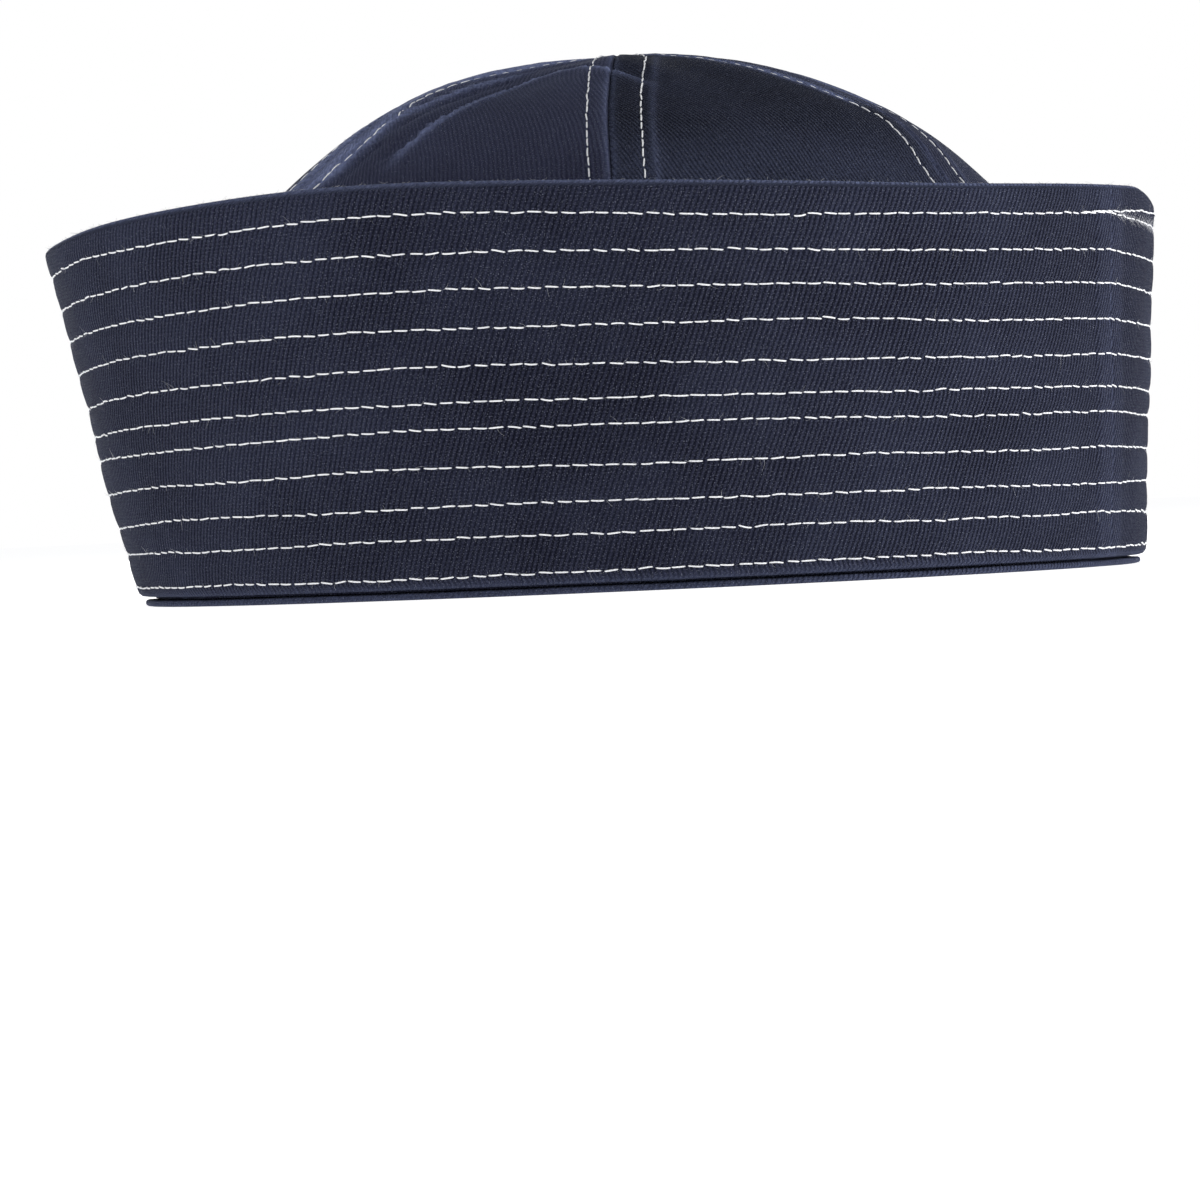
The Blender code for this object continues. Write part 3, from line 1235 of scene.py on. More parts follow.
    def outward(self, shares: np.ndarray, steps: int = 30) -> np.ndarray:
        """Outward directions of the even outer face.

        Args:
            shares: Shares of the mesh lines, as lines and columns.
            steps: At how many heights the face is read.

        Returns:
            One direction for each place.
        """
        heights = np.linspace(0.0, 1.0, steps)[:, None]
        normals = grid_normals(self.base(self.turns[None], heights), True, False)
        level = np.clip(shares, 0.0, 1.0) * (steps - 1.0)
        lower = np.clip(np.floor(level).astype(int), 0, steps - 2)
        column = np.arange(len(self.turns))[None]
        blend = (level - lower)[..., None]
        return unit(normals[lower, column] * (1.0 - blend) + normals[lower + 1, column] * blend)

    def row_share(self, row: int) -> np.ndarray:
        """Share of one stitch row at each column, with the hand's wander and the dip of the top row.

        Args:
            row: The row's number, from the lower fold up.

        Returns:
            The shares.
        """
        draw = np.random.default_rng(40 + row)
        wander = np.zeros(len(self.turns))
        for waves in (3, 5, 8, 13, 21):
            wander += draw.normal(0.0, 1.0 / math.sqrt(waves)) * np.cos(
                np.radians(self.turns * waves) + draw.uniform(0.0, 2.0 * np.pi)
            )
        slip = self.drop(self.turns) - self.rim_drop(self.turns)
        offset = self.row_wander * wander - self.row_shares[row] * slip
        if row == len(self.row_shares) - 1:
            offset = offset - self.top_dip * bell(turn_gap(self.turns, self.dip_turn), self.dip_reach)
        return self.row_shares[row] + offset / self.slope(self.turns)

    def outer_lines(self) -> list[np.ndarray]:
        """Lays out the outer face's mesh lines and notes which of them carry stitches.

        Returns:
            Their shares, from the lower fold to the rim.
        """
        slope = self.slope(self.turns)
        rows = [self.row_share(row) for row in range(len(self.row_shares))]
        lines: list[np.ndarray] = []
        for row, share in enumerate(rows):
            for beside in OUTER_BESIDE_ROW:
                if row == 0 and beside == OUTER_BESIDE_ROW[0]:
                    continue
                if beside == 0.0:
                    self.stitch_lines[Face.OUTER, row] = len(lines)
                lines.append(share + beside * MM / slope)
            if row < len(rows) - 1:
                lines.append(share + CHANNEL_EDGE * MM / slope)
                lines.append((share + rows[row + 1]) / 2.0)
                lines.append(rows[row + 1] - CHANNEL_EDGE * MM / slope)
        lines += [rows[-1] + above * MM / slope for above in OUTER_OVER_TOP_ROW]
        return lines

    def inner_lines(self) -> list[np.ndarray]:
        """Lays out the inner face's mesh lines and notes which of them carry stitches.

        Returns:
            Their shares, from the rim to the lower fold.
        """
        slope = self.slope(self.turns)
        rows = [self.row_share(row) for row in range(len(self.row_shares))]
        lines = [rows[-1] + above * MM / slope for above in INNER_OVER_TOP_ROW]
        for row in range(len(rows) - 1, -1, -1):
            for beside in INNER_BESIDE_ROW:
                if beside == 0.0:
                    self.stitch_lines[Face.INNER, row] = len(lines)
                lines.append(rows[row] + beside * MM / slope)
            if row:
                lines.append((rows[row] + rows[row - 1]) / 2.0)
        return lines

    def fold(self, top: bool) -> list[tuple[np.ndarray, float]]:
        """Lays out the mesh lines of a fold.

        Args:
            top: Whether it is the rim's fold, and not the lower one.

        Returns:
            The lines' shares and depths, the rim's from outside in and the lower fold's from inside out.
        """
        tall = self.rim(self.turns) - self.frame.brim_foot
        height = self.rim_round if top else self.foot_round
        lines = []
        for degrees in range(0, 181, 30):
            angle = math.radians(degrees)
            reach = height * (1.0 - math.sin(angle)) / tall
            depth = self.wall * (1.0 - math.cos(angle)) / 2.0
            lines.append((1.0 - reach if top else reach, depth if top else self.wall - depth))
        return lines

    def relief(self, shares: np.ndarray, face: Face) -> np.ndarray:
        """How far the cloth stands out from its even face.

        Args:
            shares: Shares of the mesh lines, as lines and columns.
            face: The face of the cloth.

        Returns:
            The relief, outwards from that face.
        """
        slope = self.slope(self.turns)
        turns = np.broadcast_to(self.turns, shares.shape)
        rows = np.array([self.row_share(row) for row in range(len(self.row_shares))])
        gap = np.min(np.abs(shares[None] - rows[:, None]) * slope, axis=0) / MM
        ends = eased(shares * slope / MM, 0.0, self.foot_fade)
        ends = ends * eased((1.0 - shares) * slope / MM, 0.0, self.rim_fade)
        swell = self.puff * (1.0 - np.exp(-((gap / self.puff_reach) ** 1.4))) * ends
        seed = 7 if face is Face.OUTER else 17
        folds = Ripple(seed, 190, 60).at(turns, shares)
        folds = folds + 0.7 * Ripple(seed + 1, 96, 34).at(turns, shares)
        pull = 1.0 + self.groove_change * Ripple(seed + 2, 210, 40).at(turns, shares)
        pinch = self.groove * bell(gap, self.groove_reach) * pull
        tucks = self.pucker * folds * np.exp(-gap / self.pucker_reach) * ends
        return swell - pinch + tucks

    def waves(self, shares: np.ndarray) -> np.ndarray:
        """Slow waves that both faces share, still at the lower fold.

        Args:
            shares: Shares of the mesh lines, as lines and columns.

        Returns:
            How far the band stands out.
        """
        turns = np.broadcast_to(self.turns, shares.shape)
        slow = Ripple(3, 15, 3).at(turns, shares) + 0.5 * Ripple(4, 31, 6).at(turns, shares)
        return self.wave * slow * eased(shares, 0.02, 0.25)

    def seam_relief(self) -> np.ndarray:
        """Relief of the joined ends: an upper layer that stops at the seam and turned-in cloth beside it.

        Returns:
            The relief at each column.
        """
        arc = self.seam_arc()
        kept = 1.0 - eased(arc, *self.turned_in)
        upper = self.upper_step * eased(arc, -0.1, 0.35) * kept
        lower = self.lower_step * eased(arc, 0.4, 1.6) * kept - self.joint_groove * bell(arc, 0.5)
        return np.where(self.past_seam(self.turns) > 180.0, upper, lower)

    def cloth(self, material: bpy.types.Material) -> bpy.types.Object:
        """Builds the band of cloth.

        Args:
            material: Its finish.

        Returns:
            The piece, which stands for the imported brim.
        """
        outer, inner = self.outer_lines(), self.inner_lines()
        foot, rim = self.fold(top=False), self.fold(top=True)
        lines = foot[1:-1] + [(share, 0.0) for share in outer] + rim
        lines += [(share, self.wall) for share in inner] + foot[:1]
        faces = {Face.OUTER: len(foot) - 2, Face.INNER: len(foot) - 2 + len(outer) + len(rim)}
        self.rim_line = faces[Face.OUTER] + len(outer) + len(rim) // 2
        for key, line in list(self.stitch_lines.items()):
            self.stitch_lines[key] = line + faces[key[0]]
        self.shares = np.array([share for share, _ in lines])
        depths = np.array([np.broadcast_to(depth, self.turns.shape) for _, depth in lines])
        inward = depths / self.wall
        stand = (self.relief(self.shares, Face.OUTER) + self.seam_relief()) * (1.0 - inward)
        stand -= self.relief(self.shares, Face.INNER) * inward * self.inner_relief
        stand += self.waves(self.shares)
        even = self.base(self.turns[None], self.shares)
        self.grid = even + self.outward(self.shares) * (stand - depths)[..., None]
        self.normals = grid_normals(self.grid, True, True)
        mesh = grid_mesh("brim_cloth", self.grid, self.places(depths))
        add_mask(mesh, WEAR_AND_SHEEN_MASK, self.wear_and_sheen(depths))
        return add_piece(mesh, material, Slot.BRIM, "brim")

    def places(self, depths: np.ndarray) -> np.ndarray:
        """Cloth map: millimetres round the band from its seam, and up the outer face and over the rim.

        Args:
            depths: Depths of the mesh points in the band.

        Returns:
            The places, with the first line and column again at the end.
        """
        middle = self.base(self.turns, np.full(self.turns.shape, 0.5))
        round_way = path_length(np.concatenate([middle, middle[:1]])) / MM
        heights = np.mean(self.shares, 1) * self.map_height
        up = path_length(np.stack([heights, np.mean(depths, 1) / MM], axis=1))
        tall = self.shares * self.slope(self.turns) / MM
        over = np.where(depths > 0.0, up[:, None], tall)
        over = np.concatenate([over, over[:1] + up[-1]])
        over = np.concatenate([over, over[:, :1]], axis=1)
        return np.stack([np.broadcast_to(round_way, over.shape), over], axis=-1)

    def wear_and_sheen(self, depths: np.ndarray) -> np.ndarray:
        """Where the cloth is rubbed: the rim, the lower fold, the seam and the cloth behind it, with painted
        light on a wide band under the rim.

        Args:
            depths: Depths of the mesh points in the band.

        Returns:
            How rubbed each point is, 0 to 1.
        """
        tall = (self.rim(self.turns) - self.frame.brim_foot) / MM
        below_rim = (1.0 - self.shares) * tall
        # The thin line on the rim's edge is wear; the wide soft band under the rim is painted light, where
        # the flared top catches more light.
        top = self.rim_rub * bell(below_rim, 0.5) + 0.02 * bell(below_rim, 7.0)
        foot = self.foot_rub * bell(self.shares * tall, 1.2)
        arc = self.seam_arc()
        seam = self.joint_rub * bell(arc, 0.5) + self.turned_rub * (1.0 - eased(arc, 5.5, 7.5))
        return np.clip(top + foot + seam * (depths < self.wall / 2.0), 0.0, 1.0)

    def stitches(self, face: Face, material: bpy.types.Material) -> bpy.types.Object:
        """Lays the rows of stitches on one face.

        Args:
            face: The face of the cloth.
            material: The thread.

        Returns:
            The piece.
        """
        stitcher = Stitcher()
        if face is Face.INNER:
            stitcher.slant = -stitcher.slant
        for row in range(len(self.row_shares)):
            line = self.stitch_lines[face, row]
            stitcher.lay(self.grid[line], self.normals[line], 100 + row, closed=True)
        if face is Face.OUTER:
            self.back_tack(stitcher)
        return stitcher.build(f"brim_{face.value}_stitches", material)

    def back_tack(self, stitcher: Stitcher) -> None:
        """Sews the top row again over the seam, where the second pass runs level while the first one drops.

        Args:
            stitcher: The stitcher that has laid the row.
        """
        line = self.stitch_lines[Face.OUTER, len(self.row_shares) - 1]
        past = turn_gap(self.turns, self.seam_turn)
        order = np.argsort(past)
        order = order[(past[order] > self.tack_turns[0]) & (past[order] < self.tack_turns[1])]
        climb = self.tack_rise + self.drop(self.turns[order]) * self.row_shares[-1]
        share = self.shares[line, order] + climb / self.slope(self.turns[order])
        near = slice(line, line + 10)
        points = np.array(
            [
                [
                    np.interp(reach, self.shares[near, column], self.grid[near, column, axis])
                    for axis in range(3)
                ]
                for reach, column in zip(share, order)
            ]
        )
        normals = self.normals[line, order]
        stitcher.lay(points + normals * self.tack_stand, normals, 321)


@dataclass(frozen=True)
class Seam:
    """A seam between two gores.

    Attributes:
        turn: Where the seam reaches the crown's lower edge.
        sway: Climb in degrees and how far the seam strays there, in degrees of turn.
        stand: How far the stiff seam stands proud of the crown, up to where the cloth buckles.
        sunk_from: Climb from which the rows beside the seam lie sunk in a fold, painted lighter there as wear
            and as painted sheen.
    """

    turn: float
    sway: tuple[tuple[float, float], ...] = ((0.0, 0.0), (90.0, 0.0))
    stand: float = 0.0
    sunk_from: float = 90.0

    def at(self, climb: float) -> float:
        """The seam's turn at one climb.

        Args:
            climb: Degrees up the crown.

        Returns:
            Degrees round the cap.
        """
        climbs, strays = zip(*self.sway)
        fine = np.interp([climb - 2.0, climb, climb + 2.0], climbs, strays)
        return self.turn + float(np.mean(fine))

    def sunk(self, climbs: np.ndarray) -> np.ndarray:
        """How far the rows beside the seam lie sunk at each climb, 0 to 1."""
        return eased(climbs, self.sunk_from - 1.5, self.sunk_from + 1.5)


CROWN_SEAMS = (
    Seam(
        14.0,
        (
            (0.0, 0.0), (43.0, 1.0), (47.0, 4.2), (54.0, 5.0),
            (58.0, 2.0), (62.0, -5.0), (68.0, -13.0), (90.0, -13.0),
        ),
        stand=0.5 * MM,
        sunk_from=70.0,
    ),
    Seam(77.5, ((0.0, 0.0), (42.0, 0.0), (52.0, -0.6), (60.0, -0.8), (70.0, -0.5), (90.0, 0.0))),
    Seam(
        142.0,
        (
            (0.0, 0.0), (36.0, -6.5), (43.0, -8.5), (48.0, -5.6),
            (54.0, -2.6), (58.0, -4.4), (64.0, -8.5), (90.0, -5.5),
        ),
        sunk_from=57.0,
    ),
    Seam(200.0),
    Seam(258.0),
    Seam(316.0),
)


class Edge(Enum):
    """The two edges of a gore, and how many millimetres its topstitching lies from each."""

    START = 6.3
    END = 4.2


@dataclass(frozen=True)
class Crease:
    """A soft fold in the crown that a hand has pressed.

    Attributes:
        course: Turn and height in millimetres of points along the fold.
        ridge: Height of the fold's edge.
        valley: Depth of the hollow beside it.
        foot_reach: Millimetres over which the edge rises from the gore.
        brow_reach: Millimetres over which the edge falls into the hollow.
        valley_place: Millimetres from the edge to the hollow's middle, more than 0 towards the tip.
        valley_reach: Half the hollow's width in millimetres.
        wear_and_sheen: How much lighter the fold's edge is painted, as wear and as a painted highlight along
            its crest.
        steps: At how many points the fold is traced.
        fade: How many of those points it takes to rise at either end.
    """

    course: tuple[tuple[float, float], ...]
    ridge: float
    valley: float
    foot_reach: float
    brow_reach: float
    valley_place: float
    valley_reach: float
    wear_and_sheen: float
    steps: int = 60
    fade: int = 9

    def line(self, form: CrownForm) -> np.ndarray:
        """Traces the fold on the crown's even face.

        Args:
            form: The crown's outer face.

        Returns:
            Points along the fold.
        """
        course = np.array(self.course)
        fine = np.linspace(0.0, len(course) - 1.0, self.steps)
        turns = np.interp(fine, np.arange(len(course)), course[:, 0])
        heights = np.interp(fine, np.arange(len(course)), course[:, 1]) * MM
        points = []
        for turn, height in zip(turns, heights):
            column = np.array([form.points(np.array(turn), climb) for climb in np.linspace(40.0, 88.0, 97)])
            points.append([np.interp(height, column[:, 2], column[:, axis]) for axis in range(3)])
        return np.array(points)


CROWN_CREASES = (
    Crease(
        course=(
            (38.5, 82.0), (39.7, 86.4), (41.1, 88.5), (42.6, 92.5), (45.5, 96.1), (48.9, 99.2),
            (51.8, 101.6), (58.8, 103.0), (66.4, 103.2), (76.6, 101.6), (83.8, 99.8), (88.0, 97.8),
        ),
        ridge=0.75 * MM,
        valley=1.2 * MM,
        foot_reach=3.2,
        brow_reach=1.5,
        valley_place=3.4,
        valley_reach=2.6,
        wear_and_sheen=0.95,
    ),
    Crease(
        course=(
            (22.6, 80.0), (23.8, 82.7), (25.8, 85.3), (26.6, 89.4), (25.6, 93.0),
            (25.2, 96.0), (25.8, 98.6), (26.6, 101.1), (29.7, 103.4), (35.1, 105.5),
        ),
        ridge=0.25 * MM,
        valley=0.6 * MM,
        foot_reach=0.7,
        brow_reach=1.6,
        valley_place=-3.4,
        valley_reach=2.4,
        wear_and_sheen=0.95,
    ),
)


# Millimetres from a gore's edge to its mesh columns, and the number of the last one in the sewn edge.
BESIDE_SEAM = (
    0.08, 0.3, 0.55, 0.9, 1.5, 2.4, 3.3, 3.8, 4.2, 4.6, 5.2, 5.8, 6.3, 6.8, 7.4, 8.0, 8.5, 9.0, 9.8, 11.0
)
SEWN_COLUMNS = 13


@dataclass(frozen=True)
class GoreFace:
    """The even outer face of one gore, before any relief.

    Attributes:
        first: The seam at the gore's start.
        last: The seam at its end.
        climbs: Each mesh row's climb.
        width: The gore's width at each row.
        distance: The mesh points' distances from the gore's start, as rows and columns.
        turns: Their turns.
        points: The points.
    """

    first: Seam
    last: Seam
    climbs: np.ndarray
    width: np.ndarray
    distance: np.ndarray
    turns: np.ndarray
    points: np.ndarray

    def edges(self) -> tuple[tuple[Edge, Seam, np.ndarray], ...]:
        """Both edges of the gore.

        Returns:
            Each edge with its seam and each mesh point's distance from it in millimetres.
        """
        to_start = self.distance / MM
        to_end = (self.width - self.distance) / MM
        return (Edge.START, self.first, to_start), (Edge.END, self.last, to_end)

    def nearest(self) -> np.ndarray:
        """Each mesh point's distance from the nearer edge in millimetres."""
        return np.minimum(self.distance, self.width - self.distance) / MM

    def tip(self) -> np.ndarray:
        """How open each row is, from 0 near the crown's tip to 1."""
        return eased(self.width / MM, 5.0, 24.0)

    def shown(self) -> np.ndarray:
        """How free the cloth is, from 0 at the crown's lower edge to 1."""
        return eased(self.points[..., 2] / MM, 3.0, 14.0)


@dataclass
class Crown:
    """The crown: six gores of cloth whose edges turn in at the seams, topstitched on both sides.

    Attributes:
        form: The crown's outer face.
        seams: The seams, each gore running from one to the next.
        wall: Thickness of a gore.
        seam_groove: Depth of the seam.
        allowance: Height of the turned-in cloth beside a seam.
        pinch: Depth that a row of topstitching pulls in.
        under_edge: Height of the ridge over the end of the turned-in cloth.
        tip_rise: How far the crossing layers stand out at the tip.
        stand_reach: Millimetres over which a proud seam falls to the gore.
        tuck: Height of the tucks beside a seam.
        tuck_reach: Millimetres over which they fade.
        crowding: Share of a gore's width that one edge's columns may take, so that they close up at the tip.
        kept_share: Share of those columns' room that the sewn edge keeps.
        slack: Height of the loose cloth's slow waves.
        inner_follow: How much of the relief the inner face follows.
        sink: How deep the rows lie where a seam is sunk.
        rubbed: How much lighter the rows beside a sunk seam are painted, as wear and as painted sheen.
        proud_seam_rub_and_sheen: How much lighter the band beside a proud seam is painted, as wear and as
            painted sheen.
        ridge_rub: How rubbed the edges of the turned-in cloth are.
        low_painted_light: Painted light: how much lighter each gore is painted on its lower part.
        rows: Mesh rows of a gore.
        middles: Mesh columns in the middle of each gore, more where the folds are.
        inner_columns: Mesh columns of a gore's inner face.
        inner_map: Millimetres by which the inner face is set off on the cloth map.
        stitcher: Lays the topstitching of all gores.
    """

    form: CrownForm
    seams: tuple[Seam, ...] = CROWN_SEAMS
    wall: float = 1.1 * MM
    seam_groove: float = 0.30 * MM
    allowance: float = 0.38 * MM
    pinch: float = 0.22 * MM
    under_edge: float = 0.22 * MM
    tip_rise: float = 0.30 * MM
    stand_reach: float = 10.0
    tuck: float = 0.10 * MM
    tuck_reach: float = 7.0
    crowding: float = 0.47
    kept_share: float = 0.9
    slack: float = 0.40 * MM
    inner_follow: float = 0.2 * MM
    sink: float = 0.20 * MM
    rubbed: float = 1.0
    proud_seam_rub_and_sheen: float = 0.85
    ridge_rub: float = 0.24
    low_painted_light: tuple[float, ...] = (0.0, 0.15, 0.03, 0.0, 0.0, 0.0)
    rows: int = 138
    middles: tuple[int, ...] = (92, 60, 24, 24, 24, 24)
    inner_columns: int = 18
    inner_map: float = 500.0
    stitcher: Stitcher = field(default_factory=lambda: Stitcher(pitch=2.9 * MM, slant=0.10 * MM))

    def climbs(self) -> np.ndarray:
        """Climbs of the mesh rows, closer together where the crown shows.

        Returns:
            The climbs, from the lower edge to the tip.
        """
        low = np.linspace(0.0, 32.0, 24, endpoint=False)
        high = np.linspace(32.0, 89.9, self.rows - len(low))
        return np.concatenate([low, high])

    def columns(self, width: float, middles: int) -> np.ndarray:
        """Distances of the mesh columns from a gore's first edge, close together at both edges.

        Args:
            width: The gore's width at one climb.
            middles: How many columns lie between the edges' own.

        Returns:
            The distances.
        """
        beside = np.array(BESIDE_SEAM) * MM
        last_kept = BESIDE_SEAM[SEWN_COLUMNS] * MM
        reach = min(beside[-1], self.crowding * width)
        kept = min(last_kept, self.kept_share * reach)
        loose = kept + (beside - last_kept) * (reach - kept) / (beside[-1] - last_kept)
        start = np.where(beside > last_kept, loose, beside * kept / last_kept)
        middle = np.linspace(start[-1], width - start[-1], middles + 2)[1:-1]
        return np.concatenate([start, middle, width - start[::-1]])

    def edge_relief(self, gap: np.ndarray, edge: Edge) -> np.ndarray:
        """Relief beside one edge: the groove, the raised allowance and the row's pinch.

        Args:
            gap: Millimetres from the edge.
            edge: Which edge.

        Returns:
            The relief in metres.
        """
        row = edge.value
        lip = 0.5 if edge is Edge.END else 1.0
        groove = -self.seam_groove * (1.0 - eased(gap, 0.0, lip))
        raised = self.allowance * eased(gap, 0.0, lip) * (1.0 - 0.55 * eased(gap, row - 0.6, row + 0.8))
        raised = raised * (1.0 - eased(gap, row + 0.8, row + 4.0))
        if edge is Edge.START:
            raised = raised + self.under_edge * bell(gap - row - 2.2, 0.8)
        return groove + raised - self.pinch * bell(gap - row, 0.55)

    def crease_relief(self, points: np.ndarray) -> tuple[np.ndarray, np.ndarray]:
        """Relief of the pressed folds.

        Args:
            points: The crown's even face.

        Returns:
            The relief, and a mask of the folds' worn edges with their painted highlight.
        """
        relief = np.zeros(points.shape[:-1])
        edges = np.zeros(points.shape[:-1])
        for crease in CROWN_CREASES:
            line = crease.line(self.form)
            steps = np.linalg.norm(points[..., None, :] - line, axis=-1)
            nearest = np.argmin(steps, axis=-1)
            gap = np.min(steps, axis=-1) / MM
            radius = np.linalg.norm(points[..., :2], axis=-1)
            side = np.where(radius < np.linalg.norm(line[nearest][..., :2], axis=-1), gap, -gap)
            end = crease.steps - 1
            ends = eased(nearest, 0, crease.fade) * (1.0 - eased(nearest, end - crease.fade, end))
            reach = np.where(side > 0.0, crease.brow_reach, crease.foot_reach)
            relief += crease.ridge * bell(side, reach) * ends
            relief -= crease.valley * bell(side - crease.valley_place, crease.valley_reach) * ends
            # Painted highlight and wear: a thin lighter line on each fold's crest, with a softer band just
            # above it.
            edges += crease.wear_and_sheen * (0.62 * bell(side, 1.25) + 0.16 * bell(side - 1.0, 2.6)) * ends
        return relief, np.clip(edges, 0.0, 1.0)

    def face(self, number: int) -> GoreFace:
        """Reads the even face of one gore from the crown's form.

        Args:
            number: The gore's number, from 1.

        Returns:
            The face.
        """
        first, last = self.seams[number - 1], self.seams[number % len(self.seams)]
        whole = 360.0 if last.turn < first.turn else 0.0
        climbs = self.climbs()
        widths, distances, turns, points = [], [], [], []
        for climb in climbs:
            fine = np.linspace(first.at(climb), last.at(climb) + whole, 41)
            arc = path_length(self.form.points(fine, climb))
            widths.append(arc[-1:])
            distances.append(self.columns(arc[-1], self.middles[number - 1]))
            turns.append(np.interp(distances[-1], arc, fine))
            points.append(self.form.points(turns[-1], climb))
        grids = (np.array(values) for values in (widths, distances, turns, points))
        return GoreFace(first, last, climbs[:, None], *grids)

    def relief(self, face: GoreFace) -> np.ndarray:
        """How far the cloth stands out from the even face, without the pressed folds.

        Args:
            face: The even face.

        Returns:
            The relief at each mesh point.
        """
        tip, shown = face.tip(), face.shown()
        (_, first, to_start), (_, last, to_end) = face.edges()
        beside = self.edge_relief(to_start, Edge.START) + self.edge_relief(to_end, Edge.END)
        proud = first.stand * bell(to_start + Edge.END.value, self.stand_reach)
        proud = proud + last.stand * bell(to_end - Edge.END.value, self.stand_reach)
        proud = proud * (1.0 - eased(face.climbs, 53.0, 62.0))
        place = face.turns, face.climbs / 90.0 + 0.0 * face.turns
        tucks = Ripple(50, 150, 70).at(*place) + 0.8 * Ripple(51, 70, 48).at(*place)
        tucks = self.tuck * tucks * np.exp(-face.nearest() / self.tuck_reach) * tip
        slack = Ripple(52, 18, 6).at(*place) + 0.55 * Ripple(53, 34, 12).at(*place)
        height = (face.points[..., 2] - self.form.centre[2]) / self.form.height
        slack = self.slack * slack * eased(height, 0.25, 0.55) * tip
        return (beside * (0.15 + 0.85 * tip) + proud + tucks) * shown + slack + self.tip_rise * (1.0 - tip)

    def wear_and_sheen(self, face: GoreFace, number: int) -> np.ndarray:
        """Where the cloth is rubbed beside the seams, with painted sheen on the bands beside sunk and proud
        seams and painted light on the lower part of some gores.

        Args:
            face: The even face.
            number: The gore's number, from 1.

        Returns:
            How much lighter each mesh point is painted, for wear, painted sheen and painted light.
        """
        ridge = bell(face.nearest() - 0.6, 0.7) + 0.8 * bell(face.distance / MM - 8.5, 0.8)
        # Painted light: some gores are made lighter on their lower part, where low light from the right falls
        # on them.
        foot = 1.0 - eased(face.points[..., 2] / MM, 78.0, 92.0)
        wear_and_sheen = self.ridge_rub * ridge * face.tip() + self.low_painted_light[number - 1] * foot
        for edge, seam, gap in face.edges():
            # Painted sheen and wear: the bands beside sunk and proud seams are made lighter, where the cloth
            # catches light from the side.
            wear_and_sheen += self.rubbed * bell(gap - edge.value, 1.7) * seam.sunk(face.climbs)
            wear_and_sheen += self.proud_seam_rub_and_sheen * bell(gap - 0.6 * edge.value, 3.0) * (seam.stand > 0.0) * face.shown()
        return wear_and_sheen

    def topstitch(self, face: GoreFace, outer: np.ndarray, number: int) -> None:
        """Lays the gore's two rows of topstitching.

        Args:
            face: The even face.
            outer: The cloth's outer face with its relief.
            number: The gore's number, from 1.
        """
        normals = grid_normals(outer, False, False)
        for edge, seam, _ in face.edges():
            beside = BESIDE_SEAM.index(edge.value)
            column = beside if edge is Edge.START else face.distance.shape[1] - 1 - beside
            keep = (face.width[:, 0] > 9.0 * MM) & (face.points[:, column, 2] > 6.0 * MM)
            row = outer[:, column] - normals[:, column] * self.sink * seam.sunk(face.climbs)
            self.stitcher.lay(row[keep], normals[keep, column], 500 + 10 * number + int(edge.value))

    def gore(self, number: int, material: bpy.types.Material) -> bpy.types.Object:
        """Builds one gore and lays its topstitching.

        Args:
            number: The gore's number, from 1.
            material: Its finish.

        Returns:
            The piece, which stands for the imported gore.
        """
        face = self.face(number)
        outwards = grid_normals(face.points, False, False)
        pressed, edges = self.crease_relief(face.points)
        stand = self.relief(face) + pressed
        outer = face.points + outwards * stand[..., None]
        inner = face.points - outwards * (self.wall - np.minimum(stand, self.inner_follow))[..., None]
        self.topstitch(face, outer, number)
        wear_and_sheen = np.clip(self.wear_and_sheen(face, number) + edges, 0.0, 1.0)
        back = np.linspace(face.distance.shape[1] - 1, 0, self.inner_columns).round().astype(int)
        up = path_length(face.points[:, face.distance.shape[1] // 2]) / MM
        across = (face.distance - face.width / 2.0) / MM
        flat = np.stack([across, np.broadcast_to(up[:, None], across.shape)], axis=-1)
        places = np.concatenate([flat, flat[:, back] + (0.0, self.inner_map), flat[:, :1]], axis=1)
        grid = np.concatenate([outer, inner[:, back]], axis=1)
        mesh = grid_mesh(f"crown_gore_cloth_{number}", grid, places)
        add_mask(mesh, WEAR_AND_SHEEN_MASK, np.concatenate([wear_and_sheen, 0.0 * wear_and_sheen[:, back]], axis=1))
        return add_piece(mesh, material, Slot.CROWN, f"crown_gore_{number}")

    def topstitches(self, material: bpy.types.Material) -> bpy.types.Object:
        """Makes the gores' topstitching into one piece."""
        return self.stitcher.build("crown_topstitches", material)


